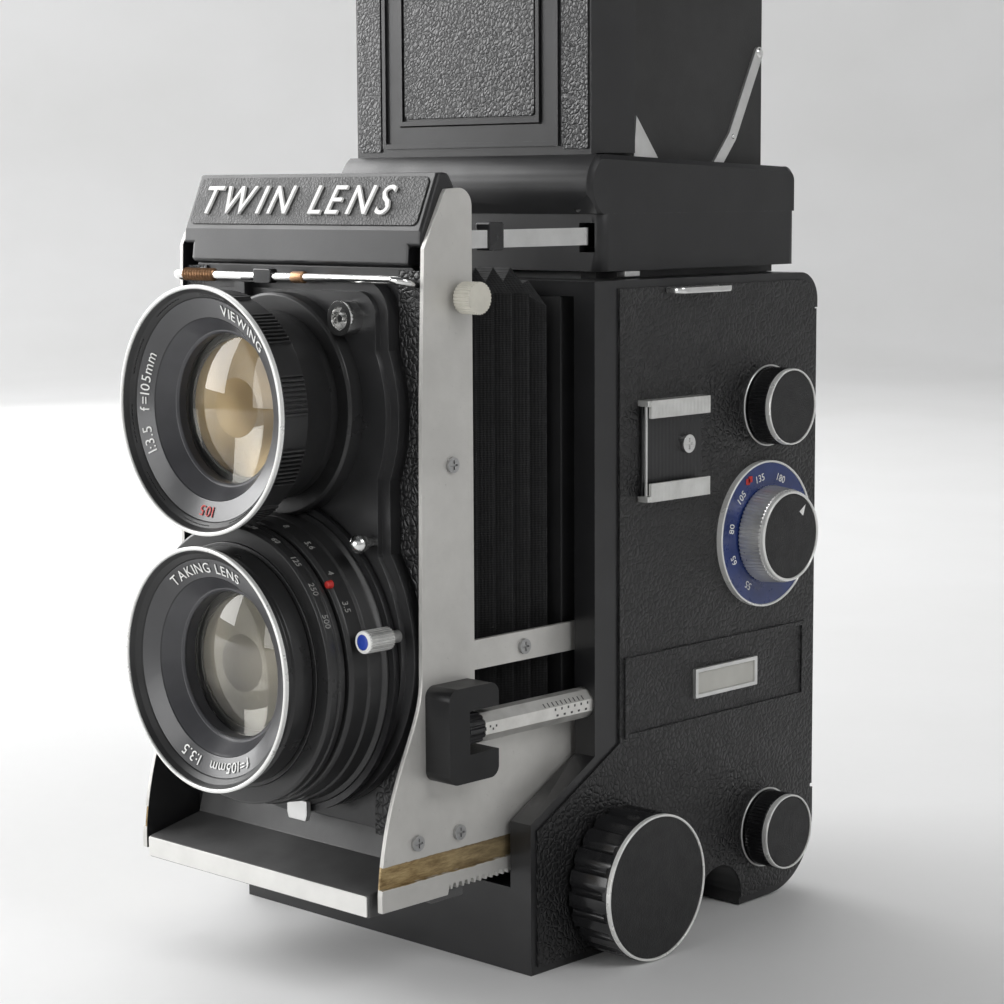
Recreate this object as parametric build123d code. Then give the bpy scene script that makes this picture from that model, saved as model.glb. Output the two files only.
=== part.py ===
from build123d import *
import math
import os

# Twin lens reflex camera, in millimetres.
# +X is the camera's own left side, the lenses face -Y, +Z is up.
# The origin is the mouth of the tripod socket, in the base plane.

os.makedirs("parts", exist_ok=True)

# ---- driving dimensions -------------------------------------------------
TAKING_Z = 62.6            # taking lens axis above the base
VIEWING_Z = 112.6          # viewing lens axis, 50 mm above it
BODY_HALF = 42.5           # half width of the casting
SKIN = 0.5                 # leatherette thickness
BODY_FRONT, BODY_REAR = -27.0, 46.0
BODY_TOP = 136.0
HOUSING_FRONT = -46.0      # front of the bed housing
BED_TOP = 17.0
BEZEL_HALF = 37.0          # half width of the front opening
CHAMBER_HALF = 31.5        # film chamber
CAVITY_IN, CAVITY_OUT = 33.5, 40.0   # mechanism space between chamber and wall
CAVITY_FRONT = -21.5
SPOOL_Y, SPOOL_LOW_Z, SPOOL_TOP_Z = 28.4, 16.0, 108.1
FOCUS_Y, FOCUS_Z = -21.4, 15.1
MODULE, PINION_TEETH = 0.51, 20
PITCH_R = MODULE * PINION_TEETH / 2
PLATE_IN, PLATE_OUT, RAIL_OUT = 34.7, 35.7, 36.0
RACK_TIP_Z, RACK_ROOT_Z = 19.75, 20.8
ROD_X, ROD_Z = 38.9, 51.6  # focusing scale rod
ROD_R, ROD_HOLE_R = 3.1, 3.2
FILM_KNOB_R = 8.2
FRAME_FRONT, FRAME_REAR = -66.0, -57.0
FRAME_TOP = 139.6
STEP_FACE = -70.2          # raised face of the lens board
RIM_FACE = -92.7           # front rims of both lenses
FINDER_HALF, FINDER_IN = 36.9, 35.2
FINDER_LOW, FINDER_MID = 137.6, 149.1
LID_HALF, LID_FRONT, LID_BACK = 34.0, -18.4, -16.9
LID_HINGE = (-17.0, 158.9)
REAR_HINGE = (40.4, 153.2)
SIDE_HINGE_X = 31.5
SIDE_HINGE_Z = {"left": 150.2, "right": 147.6}
DOOR_HINGE = (44.4, 20.0)
DIAL_Y, DIAL_Z = 26.6, 80.8
SHAFT_R, SHAFT_HOLE_R = 2.94, 3.0
SPOOL_BORE_R = 3.2
PIN_R, PIN_HOLE_R = 0.8, 0.86
WIRE_PIVOT = (-57.7, 133.8)
KNOB_INNER_X = 43.4        # back face of every side knob


# ---- helpers --------------------------------------------------------------
def block(x0, x1, y0, y1, z0, z1):
    """A box between two corners."""
    centre = Pos((x0 + x1) / 2, (y0 + y1) / 2, (z0 + z1) / 2)
    return centre * Box(x1 - x0, y1 - y0, z1 - z0)


def rod_x(y, z, r, x0, x1):
    return Pos((x0 + x1) / 2, y, z) * Rot(0, 90, 0) * Cylinder(r, x1 - x0)


def rod_y(x, z, r, y0, y1):
    return Pos(x, (y0 + y1) / 2, z) * Rot(90, 0, 0) * Cylinder(r, y1 - y0)


def rod_z(x, y, r, z0, z1):
    return Pos(x, y, (z0 + z1) / 2) * Cylinder(r, z1 - z0)


def outline(*points):
    return make_face(Polyline(*points, close=True))


def side_solid(face, x0, x1):
    """Extrudes a face drawn in (y, z) from x0 to x1."""
    return extrude(Plane.YZ.offset(x0) * face, x1 - x0)


def front_solid(face, y0, y1):
    """Extrudes a face drawn in (x, z) from y0 to y1."""
    return extrude(Plane.XZ.offset(-y1) * face, y1 - y0)


def turned_y(face, z, x=0.0):
    """Turns a face drawn in (radius, y) about a lens axis."""
    return Pos(x, 0, z) * revolve(face, axis=Axis.Y)


def turned_x(face, y, z):
    """Turns a face drawn in (x, radius) about a shaft along X."""
    return Pos(0, y, z) * revolve(face, axis=Axis.X)


def dome_glass(radius, z, flat_y, edge_y, crown_y):
    """A plano-convex glass: a disc cut by the sphere of its curved face."""
    sag = abs(edge_y - crown_y)
    sphere_r = (radius ** 2 + sag ** 2) / (2 * sag)
    toward_flat = math.copysign(1, flat_y - crown_y)
    disc = rod_y(0, z, radius, min(flat_y, crown_y), max(flat_y, crown_y))
    return disc & Pos(0, crown_y + toward_flat * sphere_r, z) * Sphere(sphere_r)


def both_sides(shape):
    return shape + mirror(shape, about=Plane.YZ)


def star(tip_r, root_r, count, tip_share=0.45, root_share=0.75, phase=0.0):
    """A toothed outline; the shares are a tooth's widths as parts of the pitch."""
    points = []
    for i in range(count):
        centre = 2 * math.pi * i / count + phase
        half_tip = math.pi / count * tip_share
        half_root = math.pi / count * root_share
        for angle, radius in (
            (centre - half_root, root_r),
            (centre - half_tip, tip_r),
            (centre + half_tip, tip_r),
            (centre + half_root, root_r),
        ):
            points.append((radius * math.cos(angle), radius * math.sin(angle)))
    return outline(*points)


def save(name, shape):
    export_step(shape, f"parts/{name}.step")


# ---- body casting ---------------------------------------------------------
def body_profile():
    """Side outline in (y, z): tall body, chamfered bed housing, rear lobe."""
    top_round = 6.0
    lobe_y, lobe_z, lobe_r = 31.0, 15.5, 15.0
    main = outline(
        (BODY_FRONT, BODY_TOP), (BODY_FRONT, 41.0), (HOUSING_FRONT, 30.5),
        (HOUSING_FRONT, 0), (5, 0), (lobe_y, 0.5), (lobe_y, lobe_z),
        (BODY_REAR, lobe_z), (BODY_REAR, BODY_TOP - top_round),
        (BODY_REAR - top_round, BODY_TOP - top_round),
        (BODY_REAR - top_round, BODY_TOP),
    )
    corner = Pos(BODY_REAR - top_round, BODY_TOP - top_round) * Circle(top_round)
    return main + corner + Pos(lobe_y, lobe_z) * Circle(lobe_r)


def arch_notch():
    """Notch under each side between the base and the rear lobe."""
    arch = block(32.7, 44, 5, 20, -1, 3) + rod_x(12.5, 3, 7.5, 32.7, 44)
    return both_sides(arch)


def make_body_shell():
    shell = side_solid(body_profile(), -BODY_HALF, BODY_HALF)
    cuts = [
        block(-BEZEL_HALF, BEZEL_HALF, BODY_FRONT - 1, CAVITY_FRONT, BED_TOP, 133),
        block(-BEZEL_HALF, BEZEL_HALF, HOUSING_FRONT - 1, BODY_FRONT, BED_TOP, 60),
        block(-29, 29, CAVITY_FRONT, 36.5, 33, 92),
        side_solid(outline((CAVITY_FRONT, 95), (-16, 95), (23.4, 134.4),
                           (CAVITY_FRONT, 134.4)), -29, 29),
        block(-29.2, 29.2, -17.2, 38.2, 134.4, 137),
        rod_x(SPOOL_Y, SPOOL_TOP_Z, 14, -CHAMBER_HALF, CHAMBER_HALF),
        rod_x(SPOOL_Y, SPOOL_LOW_Z, 13.4, -CHAMBER_HALF, CHAMBER_HALF),
        block(-CHAMBER_HALF, CHAMBER_HALF, 36, 44, 23.5, 128),
        block(-CHAMBER_HALF, CHAMBER_HALF, SPOOL_Y, 41.8, 16, 30),
        both_sides(block(CAVITY_IN, CAVITY_OUT, CAVITY_FRONT, 41.5, 18.5, 132)),
        block(-43, 43, 43.7, 47, 21.7, 128.3),
        block(-36.3, 36.3, DOOR_HINGE[0], 47, 18.1, 21.8),
        rod_x(*DOOR_HINGE, 2.0, -36.3, 36.3),
        rod_x(*DOOR_HINGE, 1.06, -40, 40),
        block(-30, 30, -40, 12, -1, 2.5),
        block(-29, 29, -39, 11, 2, 14),
        rod_x(FOCUS_Y, FOCUS_Z, 2.56, -44, 44),
        both_sides(rod_x(FOCUS_Y, FOCUS_Z, 6.4, CAVITY_IN, BEZEL_HALF)),
        rod_y(ROD_X, ROD_Z, ROD_HOLE_R, BODY_FRONT - 1, 38),
        rod_x(SPOOL_Y, SPOOL_TOP_Z, SHAFT_HOLE_R, -44, 44),
        rod_x(SPOOL_Y, SPOOL_LOW_Z, SHAFT_HOLE_R, 30, 44),
        rod_x(DIAL_Y, DIAL_Z, SHAFT_HOLE_R, 39.5, 44),
        rod_x(-12, 36, SHAFT_HOLE_R, -44, -39),
        arch_notch(),
    ]
    for cut in cuts:
        shell -= cut
    return shell + rod_x(SPOOL_Y, SPOOL_LOW_Z, 2.8, -CHAMBER_HALF, -28.6)


def leather_face():
    """Covering panel outline: the side outline set in, behind the bezel."""
    inset = offset(body_profile(), -1.6)
    region = outline((-20, 140), (-20, 42.6), (HOUSING_FRONT, 28.2),
                     (HOUSING_FRONT, -2), (50, -2), (50, 140))
    return inset & region


def make_leatherette(side):
    skin = side_solid(leather_face(), BODY_HALF, BODY_HALF + SKIN)
    skin -= rod_x(FOCUS_Y, FOCUS_Z, 3.4, 42, 44)
    if side == "left":
        skin -= rod_x(SPOOL_Y, SPOOL_TOP_Z, 3.4, 42, 44)
        skin -= rod_x(SPOOL_Y, SPOOL_LOW_Z, 3.4, 42, 44)
        skin -= rod_x(DIAL_Y, DIAL_Z, 3.4, 42, 44)
        panel = block(43, 43.35, -18.6, 41.4, 43.2, 59.9)
        skin += panel - block(42.9, 43.5, -17.7, 40.5, 44.1, 59.0)
    else:
        skin -= rod_x(SPOOL_Y, SPOOL_TOP_Z, 3.4, 42, 44)
        skin -= rod_x(-12, 36, 3.4, 42, 44)
    skin -= arch_notch()
    return skin if side == "left" else mirror(skin, about=Plane.YZ)


def make_base_plate():
    socket_r, socket_depth = 3.175, 9.0
    plate = block(-30, 30, -40, 12, 0, 2.5) + rod_z(0, 0, 8, 2.5, 11)
    return plate - rod_z(0, 0, socket_r, -1, socket_depth)


def make_film_gate():
    gate = block(-31.4, 31.4, 36, 37.2, 31, 93)
    return gate - block(-28, 28, 35, 38, TAKING_Z - 28, TAKING_Z + 28)


def make_mirror():
    face = outline((-13, 98), (20.5, 131.5), (19.4, 132.6), (-14.1, 99.1))
    return side_solid(face, -28, 28)


# ---- finder and hood ------------------------------------------------------
def make_finder_base():
    base = block(-FINDER_HALF, FINDER_HALF, -18.9, 45.7, FINDER_LOW, FINDER_MID)
    base = fillet(base.edges().filter_by(Axis.Z), 2.5)
    base -= block(-FINDER_IN, FINDER_IN, -17.2, 44, 140.5, 150)
    base += block(-33, 33, -16, 42, BODY_TOP, FINDER_LOW)
    base -= block(-29, 29, -16.2, 38, BODY_TOP - 1, 141)
    base -= block(31.2, FINDER_IN, -20, -17, 141.4, 147.3)
    pin_x, pin_z = -SIDE_HINGE_X, SIDE_HINGE_Z["right"]
    return base - rod_y(pin_x, pin_z, PIN_HOLE_R, -18.3, 45.0)


def make_finder_cover():
    profile = make_face(
        Polyline((-19.2, FINDER_MID), (45.7, FINDER_MID), (45.7, 155.5))
        + ThreePointArc((45.7, 155.5), (44.6, 157.9), (42.0, 158.6))
        + Polyline((42.0, 158.6), (-17.0, 160.9), (-18.9, 160.9))
        + ThreePointArc((-18.9, 160.9), (-21.6, 157.4), (-21.9, 153.0))
        + Line((-21.9, 153.0), (-19.2, FINDER_MID))
    )
    cover = side_solid(profile, -FINDER_HALF, FINDER_HALF)
    ends = [e for f in (cover.faces().sort_by(Axis.X)[0],
                        cover.faces().sort_by(Axis.X)[-1])
            for e in f.edges() if e.center().Z > 153.0]
    cover = chamfer(ends, 1.0)
    cover -= block(-FINDER_IN, FINDER_IN, -18.7, 42.2, FINDER_MID - 1, 165)
    cover -= rod_x(*LID_HINGE, PIN_HOLE_R, -36.4, 36.4)
    cover -= rod_x(*REAR_HINGE, PIN_HOLE_R, -36.4, 36.4)
    return cover - rod_y(SIDE_HINGE_X, SIDE_HINGE_Z["left"], PIN_HOLE_R, -19.9, 43.9)


def bead(half, z0, z1, width, y0, y1):
    """A raised rectangular frame on the hood's front."""
    ring = block(-half, half, y0, y1, z0, z1)
    return ring - block(width - half, half - width, y0 - 1, y1 + 1, z0 + width, z1 - width)


def make_hood_lid():
    lid = block(-LID_HALF, LID_HALF, LID_FRONT, LID_BACK, 158.3, 221)
    lid += both_sides(block(33, LID_HALF, LID_BACK, -5, 161.2, 215))
    lid += bead(25.5, 162.7, 210, 1.0, -19.0, LID_FRONT)
    lid += both_sides(rod_x(*LID_HINGE, PIN_R, 33, 36.2))
    lid -= block(-20.6, 20.6, -20, -16, 167.2, 207.4)
    lid -= rod_x(-17.6, 206.2, 0.66, -22.6, 22.6)
    return lid


def make_sports_door():
    door = block(-20.3, 20.3, LID_FRONT, LID_BACK, 167.5, 205.6)
    door += bead(20.3, 167.5, 205.6, 0.9, -19.0, LID_FRONT)
    door += rod_x(-17.6, 206.2, 0.75, -20.3, 20.3)
    door += rod_x(-17.6, 206.2, 0.6, -22.3, 22.3)
    lugs = both_sides(block(15, 17, LID_BACK, -13.8, 200.4, 203.6))
    return door + lugs - rod_x(-14.9, 202.0, 0.66, -17.5, 17.5)


def make_magnifier():
    frame = block(-14.6, 14.6, -16.4, -13.4, 169.5, 203.0)
    frame -= rod_y(0, 184.8, 13.0, -17, -13)
    frame += rod_x(-14.9, 202.0, 0.6, -16.8, 16.8)
    lens = dome_glass(12.9, 184.8, -16.2, -15.0, -12.7)
    return Compound([*frame.solids(), *lens.solids()])


def make_hood_rear():
    panel = block(-31, 31, REAR_HINGE[0] - 1.2, REAR_HINGE[0], REAR_HINGE[1], 206)
    return panel + rod_x(*REAR_HINGE, PIN_R, -36.2, 36.2)


def bar_between(start, end, width, x0, x1):
    """A flat stay between two points in (y, z), with round ends."""
    dy, dz = end[0] - start[0], end[1] - start[1]
    length = math.hypot(dy, dz)
    ny, nz = -dz / length * width / 2, dy / length * width / 2
    face = outline((start[0] + ny, start[1] + nz), (end[0] + ny, end[1] + nz),
                   (end[0] - ny, end[1] - nz), (start[0] - ny, start[1] - nz))
    face = face + Pos(*start) * Circle(width / 2) + Pos(*end) * Circle(width / 2)
    return side_solid(face, x0, x1)


def make_hood_side(side):
    """A dark side panel on its hinge rod."""
    hinge_z = SIDE_HINGE_Z[side]
    reach = (-19.6, 43.6) if side == "left" else (-18.1, 44.8)
    panel = block(31.0, 32.0, -12.2, 38.9, hinge_z, 205)
    panel += rod_y(SIDE_HINGE_X, hinge_z, PIN_R, *reach)
    return panel if side == "left" else mirror(panel, about=Plane.YZ)


def make_hood_stays(side):
    """Two flat stays lying on the outside of a side panel."""
    elbow = (28.6, 165.0)
    rear = bar_between((37.6, 182.8), elbow, 2.6, 32.0, 32.6)
    rear += bar_between(elbow, (21.8, 157.0), 2.6, 32.0, 32.6)
    front = side_solid(outline((-2.9, 168.8), (-4.0, 157.0), (6.6, 157.0)), 32.0, 32.6)
    stays = Compound([*rear.solids(), *front.solids()])
    return stays if side == "left" else mirror(stays, about=Plane.YZ)


# ---- focusing standard ----------------------------------------------------
def rack_points():
    """Rack teeth, from the front of the rack to its back end."""
    pitch = math.pi * MODULE
    first = FOCUS_Y - 25 * pitch
    points = []
    for i in range(45):
        centre = first + i * pitch
        points += [(centre - 0.30 * pitch, RACK_ROOT_Z), (centre - 0.10 * pitch, RACK_TIP_Z),
                   (centre + 0.10 * pitch, RACK_TIP_Z), (centre + 0.30 * pitch, RACK_ROOT_Z)]
    return points


def plate_face():
    """Side plate outline in (y, z), with the rack along its lower edge."""
    rack = rack_points()
    front_low = (-80.0, 22.0)
    curve = Spline((-68.6, 62.0), (-69.6, 56.0), (-72.3, 49.6), (-76.0, 41.0),
                   (-78.6, 32.0), front_low)
    top = ThreePointArc((-54.4, 151.0), (-55.4, 153.4), (-58.0, 154.4))
    lines = (
        Polyline((-58.0, 154.4), (-61.2, 154.2), (-61.9, 153.2), (-67.1, 143.2),
                 (-68.0, 115), (-68.6, 62.0))
        + curve
        + Polyline(front_low, (-80.0, 18.8), (rack[0][0] - 0.6, 18.8), *rack, (9.4, RACK_ROOT_Z),
                   (9.4, 50), (-54.4, 50), (-54.4, 61.8), (2, 61.8), (2, 67.6),
                   (-54.4, 67.6), (-54.4, 151.0))
        + top
    )
    return make_face(lines)


def make_side_plate(side):
    plate = side_solid(plate_face(), PLATE_IN, RAIL_OUT)
    plate -= block(PLATE_OUT, 37, -90, 20, 27.4, 160)
    plate -= block(PLATE_OUT - 0.4, 37, -90, 20, 23.2, 27.4)
    plate -= rod_x(*WIRE_PIVOT, 1.56, 34, 37)
    return plate if side == "left" else mirror(plate, about=Plane.YZ)


def make_standard_frame():
    frame = block(-PLATE_IN, PLATE_IN, FRAME_FRONT, FRAME_REAR, 21.8, FRAME_TOP)
    frame -= rod_y(0, VIEWING_Z, 22, -67, -56)
    frame -= rod_y(0, TAKING_Z, 26.5, -67, -56)
    return frame - both_sides(block(31.6, 35, -67, -56, 129.5, 140))


def make_nameplate():
    face = outline((-62.2, 157.3), (-66.8, 146.5), (-67.4, 139.8), (FRAME_FRONT, FRAME_TOP),
                   (FRAME_REAR, FRAME_TOP), (FRAME_REAR, 153.4), (-59.4, 157.3))
    cap = side_solid(face, -PLATE_IN, PLATE_IN)
    return cap - both_sides(block(31.6, 35, -69, -56, 139, 143.4))


def make_front_shelf():
    face = outline((-80.8, 17.5), (-80.8, 21.8), (-67.5, 24.6), (FRAME_FRONT, 30),
                   (FRAME_FRONT, 21.8), (FRAME_REAR, 21.8), (FRAME_REAR, 17.5))
    shelf = side_solid(face, -33, 33)
    ribs = both_sides(block(33, PLATE_IN, -66, FRAME_REAR, 17.5, 21.8))
    return shelf + ribs


def board_face():
    """Figure-eight outline of the lens board in (x, z)."""
    upper = Pos(0, 106.6) * RectangleRounded(55.6, 61.2, 7)
    waist = Pos(0, 111.6) * Circle(30.4) & Pos(0, 111.6) * Rectangle(62, 30)
    return upper + waist + Pos(0, 65.6) * Circle(34)


def make_lens_board():
    board = front_solid(board_face(), -69, FRAME_FRONT)
    board += front_solid(offset(board_face(), -2.2), STEP_FACE, -69)
    board -= rod_y(0, VIEWING_Z, 15, -75, -60)
    board -= rod_y(0, TAKING_Z, 15, -75, -60)
    return board + block(-12.5, -9.5, -72.4, -69, 133.4, 136.2)


def make_viewing_barrel():
    face = outline(
        (13.5, STEP_FACE), (18.4, STEP_FACE), (18.4, -75.2), (19.4, -79),
        (20.8, -84.0), (22.6, -84.4), (22.6, -91.5), (23.9, -91.8), (23.9, RIM_FACE),
        (23.3, RIM_FACE), (22.3, -91.6), (21.0, -91.4), (19.0, -88.7), (15.0, -87.1),
        (14.5, -84.6), (14.5, -80.6), (13.5, -80.6),
    )
    scale = rod_y(0, VIEWING_Z, 21.9, -73.6, STEP_FACE) - rod_y(0, VIEWING_Z, 18, -74, -70)
    scale -= block(-23, 23, -74, -70, 80, VIEWING_Z - 10)
    return turned_y(face, VIEWING_Z) + scale


def make_shutter_housing():
    face = outline(
        (13.5, STEP_FACE), (29.9, STEP_FACE), (29.9, -72.3), (28.9, -72.6), (28.4, -79.4),
        (27.9, -80.2), (24.0, -80.2), (24.0, -85.0), (14.4, -85.0), (14.4, -80.8), (13.5, -80.8),
    )
    tab = block(2.4, 7.4, -73.6, -72.4, 30.6, 34.6)
    return turned_y(face, TAKING_Z) + tab


def make_taking_barrel():
    face = outline(
        (14.8, -85.0), (23.0, -85.0), (22.7, -91.5), (23.9, -91.8), (23.9, RIM_FACE),
        (23.3, RIM_FACE), (22.0, -90.8), (20.6, -90.6), (18.0, -88.9), (15.6, -86.0),
    )
    return turned_y(face, TAKING_Z)


def make_speed_ring():
    face = outline((24.08, -80.5), (27.0, -80.5), (27.6, -81.0), (27.5, -84.2), (27.1, -84.7), (24.08, -84.7))
    return turned_y(face, TAKING_Z)


def make_cocking_lever():
    """Ring round the shutter base with a knurled finger knob."""
    ring_face = outline((29.97, -70.5), (31.3, -70.5), (31.3, -71.8), (29.97, -71.8))
    ring = turned_y(ring_face, TAKING_Z)
    angle = math.radians(13.5)
    knob_x, knob_z = 32.0 * math.cos(angle), TAKING_Z + 32.0 * math.sin(angle)
    stem = rod_y(knob_x, knob_z, 1.2, -73.4, -70.5)
    grip_face = Plane.XZ.offset(73.2) * (Pos(knob_x, knob_z) * star(2.2, 2.02, 24))
    return ring + stem + extrude(grip_face, 6.2)


def make_sync_socket():
    """Chrome flash socket and the ball-headed stud lower on the board."""
    socket = rod_y(19.0, 130.0, 3.3, -73.4, STEP_FACE) - rod_y(19.0, 130.0, 2.2, -74, -71.4)
    socket += rod_y(19.0, 130.0, 0.7, -73.2, -71.4)
    stud = rod_y(24.0, 87.4, 1.0, -73.0, STEP_FACE) + Pos(24.0, -73.6, 87.4) * Sphere(1.9)
    return Compound([*socket.solids(), *stud.solids()])


def cross_head(y, z, x0, x1, r):
    """A screw head along +X with a cross recess."""
    head = rod_x(y, z, r, x0, x1)
    slot_half, slot_long = r * 0.13, r * 0.62
    recess = block(x1 - 0.35, x1 + 1, y - slot_half, y + slot_half, z - slot_long, z + slot_long)
    recess += block(x1 - 0.35, x1 + 1, y - slot_long, y + slot_long, z - slot_half, z + slot_half)
    return head - recess


def make_plate_screws():
    places = [(-60.3, 102.2), (-40.6, 64.6), (-70.5, 30.6), (-59.2, 30.6)]
    heads = [cross_head(y, z, PLATE_OUT, 36.4, 1.5) for y, z in places]
    heads += [mirror(head, about=Plane.YZ) for head in heads]
    return Compound([solid for head in heads for solid in head.solids()])


def make_scale_bracket():
    face = RectangleRounded(13.4, 18.5, 2.2)
    bracket = side_solid(Pos(-61.2, 51.25) * face, PLATE_OUT, 42.2)
    bracket -= block(PLATE_OUT - 1, 43, -62.4, -50, ROD_Z - 4.2, ROD_Z + 4.2)
    return bracket - rod_y(ROD_X, ROD_Z, 1.26, -66.6, -62)


def make_parallax_bar():
    """Flat bar from the standard's head into the finder, with its collar."""
    bar = block(31.6, 34.4, -57, -19.6, 142.9, 146.4)
    collar = block(31.2, 34.6, -48.4, -44.6, 142.5, 147.6)
    return bar + collar


def make_scale_rod():
    """Eight-sided scale rod with a serrated knob in the bracket's notch."""
    rod_face = Plane.XZ.offset(57.7) * (Pos(ROD_X, ROD_Z) * RegularPolygon(ROD_R, 8, rotation=22.5))
    rod = mirror(extrude(rod_face, 72.7), about=Plane.XZ.offset(57.7))
    knob_face = Plane.XZ.offset(57.7) * (Pos(ROD_X, ROD_Z) * star(ROD_R, 2.65, 14))
    knob = extrude(knob_face, 4.3)
    return rod + knob + rod_y(ROD_X, ROD_Z, 1.2, -66.4, -57.7)


def make_lens_wire():
    """Spring wire across the board's top lip, held in both side plates."""
    arm_x, wire_r = 33.3, 0.8
    reach_y, reach_z = -70.9, 137.4
    path = FilletPolyline(
        (arm_x, *WIRE_PIVOT), (arm_x, reach_y, reach_z),
        (-arm_x, reach_y, reach_z), (-arm_x, *WIRE_PIVOT), radius=2.2,
    )
    start = Plane(origin=path @ 0, z_dir=path % 0)
    wire = sweep(start * Circle(wire_r), path=path)
    return wire + both_sides(rod_x(*WIRE_PIVOT, 1.5, 32.4, 36.9))


def make_wire_knob():
    face = star(3.1, 2.95, 28)
    return side_solid(Pos(*WIRE_PIVOT) * face, 36.9, 41.0)


# ---- knobs, crank and door ------------------------------------------------
def make_focus_shaft():
    shaft = rod_x(FOCUS_Y, FOCUS_Z, 2.5, -52, 52)
    gap_up = math.pi / 2 + math.pi / PINION_TEETH
    face = star(PITCH_R + 0.4, PITCH_R - 0.62, PINION_TEETH, 0.22, 0.6, gap_up)
    pinion = side_solid(Pos(FOCUS_Y, FOCUS_Z) * face, 34.6, 36.2)
    return shaft + both_sides(pinion)


def make_focus_knob(side):
    radius, flutes = 15.0, 20
    grip = side_solid(Pos(FOCUS_Y, FOCUS_Z) * Circle(radius), KNOB_INNER_X, 54.0)
    for i in range(flutes):
        angle = 2 * math.pi * (i + 0.5) / flutes
        y = FOCUS_Y + (radius + 0.7) * math.cos(angle)
        z = FOCUS_Z + (radius + 0.7) * math.sin(angle)
        grip -= rod_x(y, z, 1.5, KNOB_INNER_X - 1, 52.6)
    grip += rod_x(FOCUS_Y, FOCUS_Z, 14.2, 54.0, 54.5)
    grip -= rod_x(FOCUS_Y, FOCUS_Z, 2.5, 42, 52)
    return grip if side == "left" else mirror(grip, about=Plane.YZ)


def make_film_knob(z):
    """Pull-out knob on its spool shaft."""
    flutes = side_solid(Pos(SPOOL_Y, z) * star(FILM_KNOB_R, FILM_KNOB_R - 0.25, 60), KNOB_INNER_X, 48.6)
    cap_face = outline((48.6, 0), (48.6, FILM_KNOB_R - 0.1), (49.2, FILM_KNOB_R - 0.5),
                       (49.5, FILM_KNOB_R - 1.0), (49.5, 0))
    cap = turned_x(cap_face, SPOOL_Y, z)
    return flutes + cap + rod_x(SPOOL_Y, z, SHAFT_R, 28.5, KNOB_INNER_X)


def make_dial_plate():
    plate = rod_x(DIAL_Y, DIAL_Z, 15.7, 43, 44.0)
    rim = rod_x(DIAL_Y, DIAL_Z, 15.7, 44.0, 44.4) - rod_x(DIAL_Y, DIAL_Z, 15.0, 43.9, 45)
    return plate + rim - rod_x(DIAL_Y, DIAL_Z, 3.1, 42, 47)


def make_lens_change_knob():
    base = side_solid(Pos(DIAL_Y, DIAL_Z) * star(10.6, 10.3, 56), 44.6, 46.6)
    grip = side_solid(Pos(DIAL_Y, DIAL_Z) * star(10.1, 9.75, 56), 46.6, 50.2)
    face = rod_x(DIAL_Y, DIAL_Z, 9.6, 50.2, 50.7)
    return base + grip + face + rod_x(DIAL_Y, DIAL_Z, SHAFT_R, 40.5, 44.6)


CRANK_END_Z = 86.0
GRIP_PIVOT_X = -56.6


def make_crank():
    """Winding crank: hub, arm and the two ears of the folding grip."""
    hub_face = outline((-43.4, 0), (-43.4, 12.0), (-49.4, 11.2), (-50.0, 10.6), (-50.0, 0))
    hub = turned_x(hub_face, SPOOL_Y, SPOOL_TOP_Z)
    arm = bar_between((SPOOL_Y, SPOOL_TOP_Z), (SPOOL_Y, CRANK_END_Z), 11.0, -52.5, -50.0)
    ears = block(-58.4, -52.5, 24.2, 26.0, 83.4, 88.6) + block(-58.4, -52.5, 30.8, 32.6, 83.4, 88.6)
    pin = rod_y(GRIP_PIVOT_X, CRANK_END_Z, 1.0, 25.0, 31.8)
    shaft = rod_x(SPOOL_Y, SPOOL_TOP_Z, SHAFT_R, -43.4, -28.5)
    drive = rod_x(SPOOL_Y, SPOOL_TOP_Z, SPOOL_BORE_R, -31.2, -28.5)
    return hub + arm + ears + pin + shaft + drive


def make_crank_grip():
    tongue = block(-60.5, -54.8, 26.3, 30.5, 84.2, 87.8)
    face = outline((-60.5, 0), (-60.5, 3.2), (-61.5, 3.6), (-66.4, 3.6), (-67.4, 2.8), (-67.4, 0))
    grip = turned_x(face, SPOOL_Y, CRANK_END_Z)
    return tongue + grip - rod_y(GRIP_PIVOT_X, CRANK_END_Z, 1.06, 20, 40)


def make_spool(z):
    flanges = both_sides(rod_x(SPOOL_Y, z, 12.4, 30, 31))
    spool = flanges + rod_x(SPOOL_Y, z, 6.0, -30, 30)
    return spool - both_sides(rod_x(SPOOL_Y, z, SPOOL_BORE_R, 27.8, 32))


def make_back_door():
    door = block(-42.3, 42.3, 43.85, BODY_REAR, 22.5, 128)
    door += block(-39, 39, BODY_REAR, 46.4, 26, 124)
    door += block(-36, 36, 43.85, 45.6, 20, 22.6)
    door += rod_x(*DOOR_HINGE, 1.5, -36, 36)
    return door + rod_x(*DOOR_HINGE, 1.0, -39.5, 39.5)


def make_pressure_plate():
    plate = block(-30, 30, 38.4, 40.0, 33, 92)
    for x in (-22, 22):
        for z in (42, 83):
            plate += rod_y(x, z, 2.2, 40.0, 43.85)
    return plate


def make_release():
    face = outline((-38.6, 0), (-38.6, SHAFT_R), (-44.6, SHAFT_R), (-44.6, 4.2), (-47.4, 4.2),
                   (-48.0, 3.6), (-48.0, 0))
    return turned_x(face, -12, 36)


# ---- small fittings -------------------------------------------------------
def make_shoe():
    """Accessory shoe: back plate, two folded rails and the front wire."""
    shoe = block(43, 43.6, -13.8, 5, 92.4, 110.9)
    shoe += block(43, 46, -13.8, 5, 110.9, 111.9) + block(45.3, 46, -13.8, 5, 108.3, 111.9)
    shoe += block(43, 46, -13.8, 5, 91.4, 92.4) + block(45.3, 46, -13.8, 5, 91.4, 95.2)
    return shoe + block(43, 45.8, -14.6, -13.8, 91.4, 92.6) + block(43, 45.8, -14.6, -13.8, 110.7, 111.9)


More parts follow.
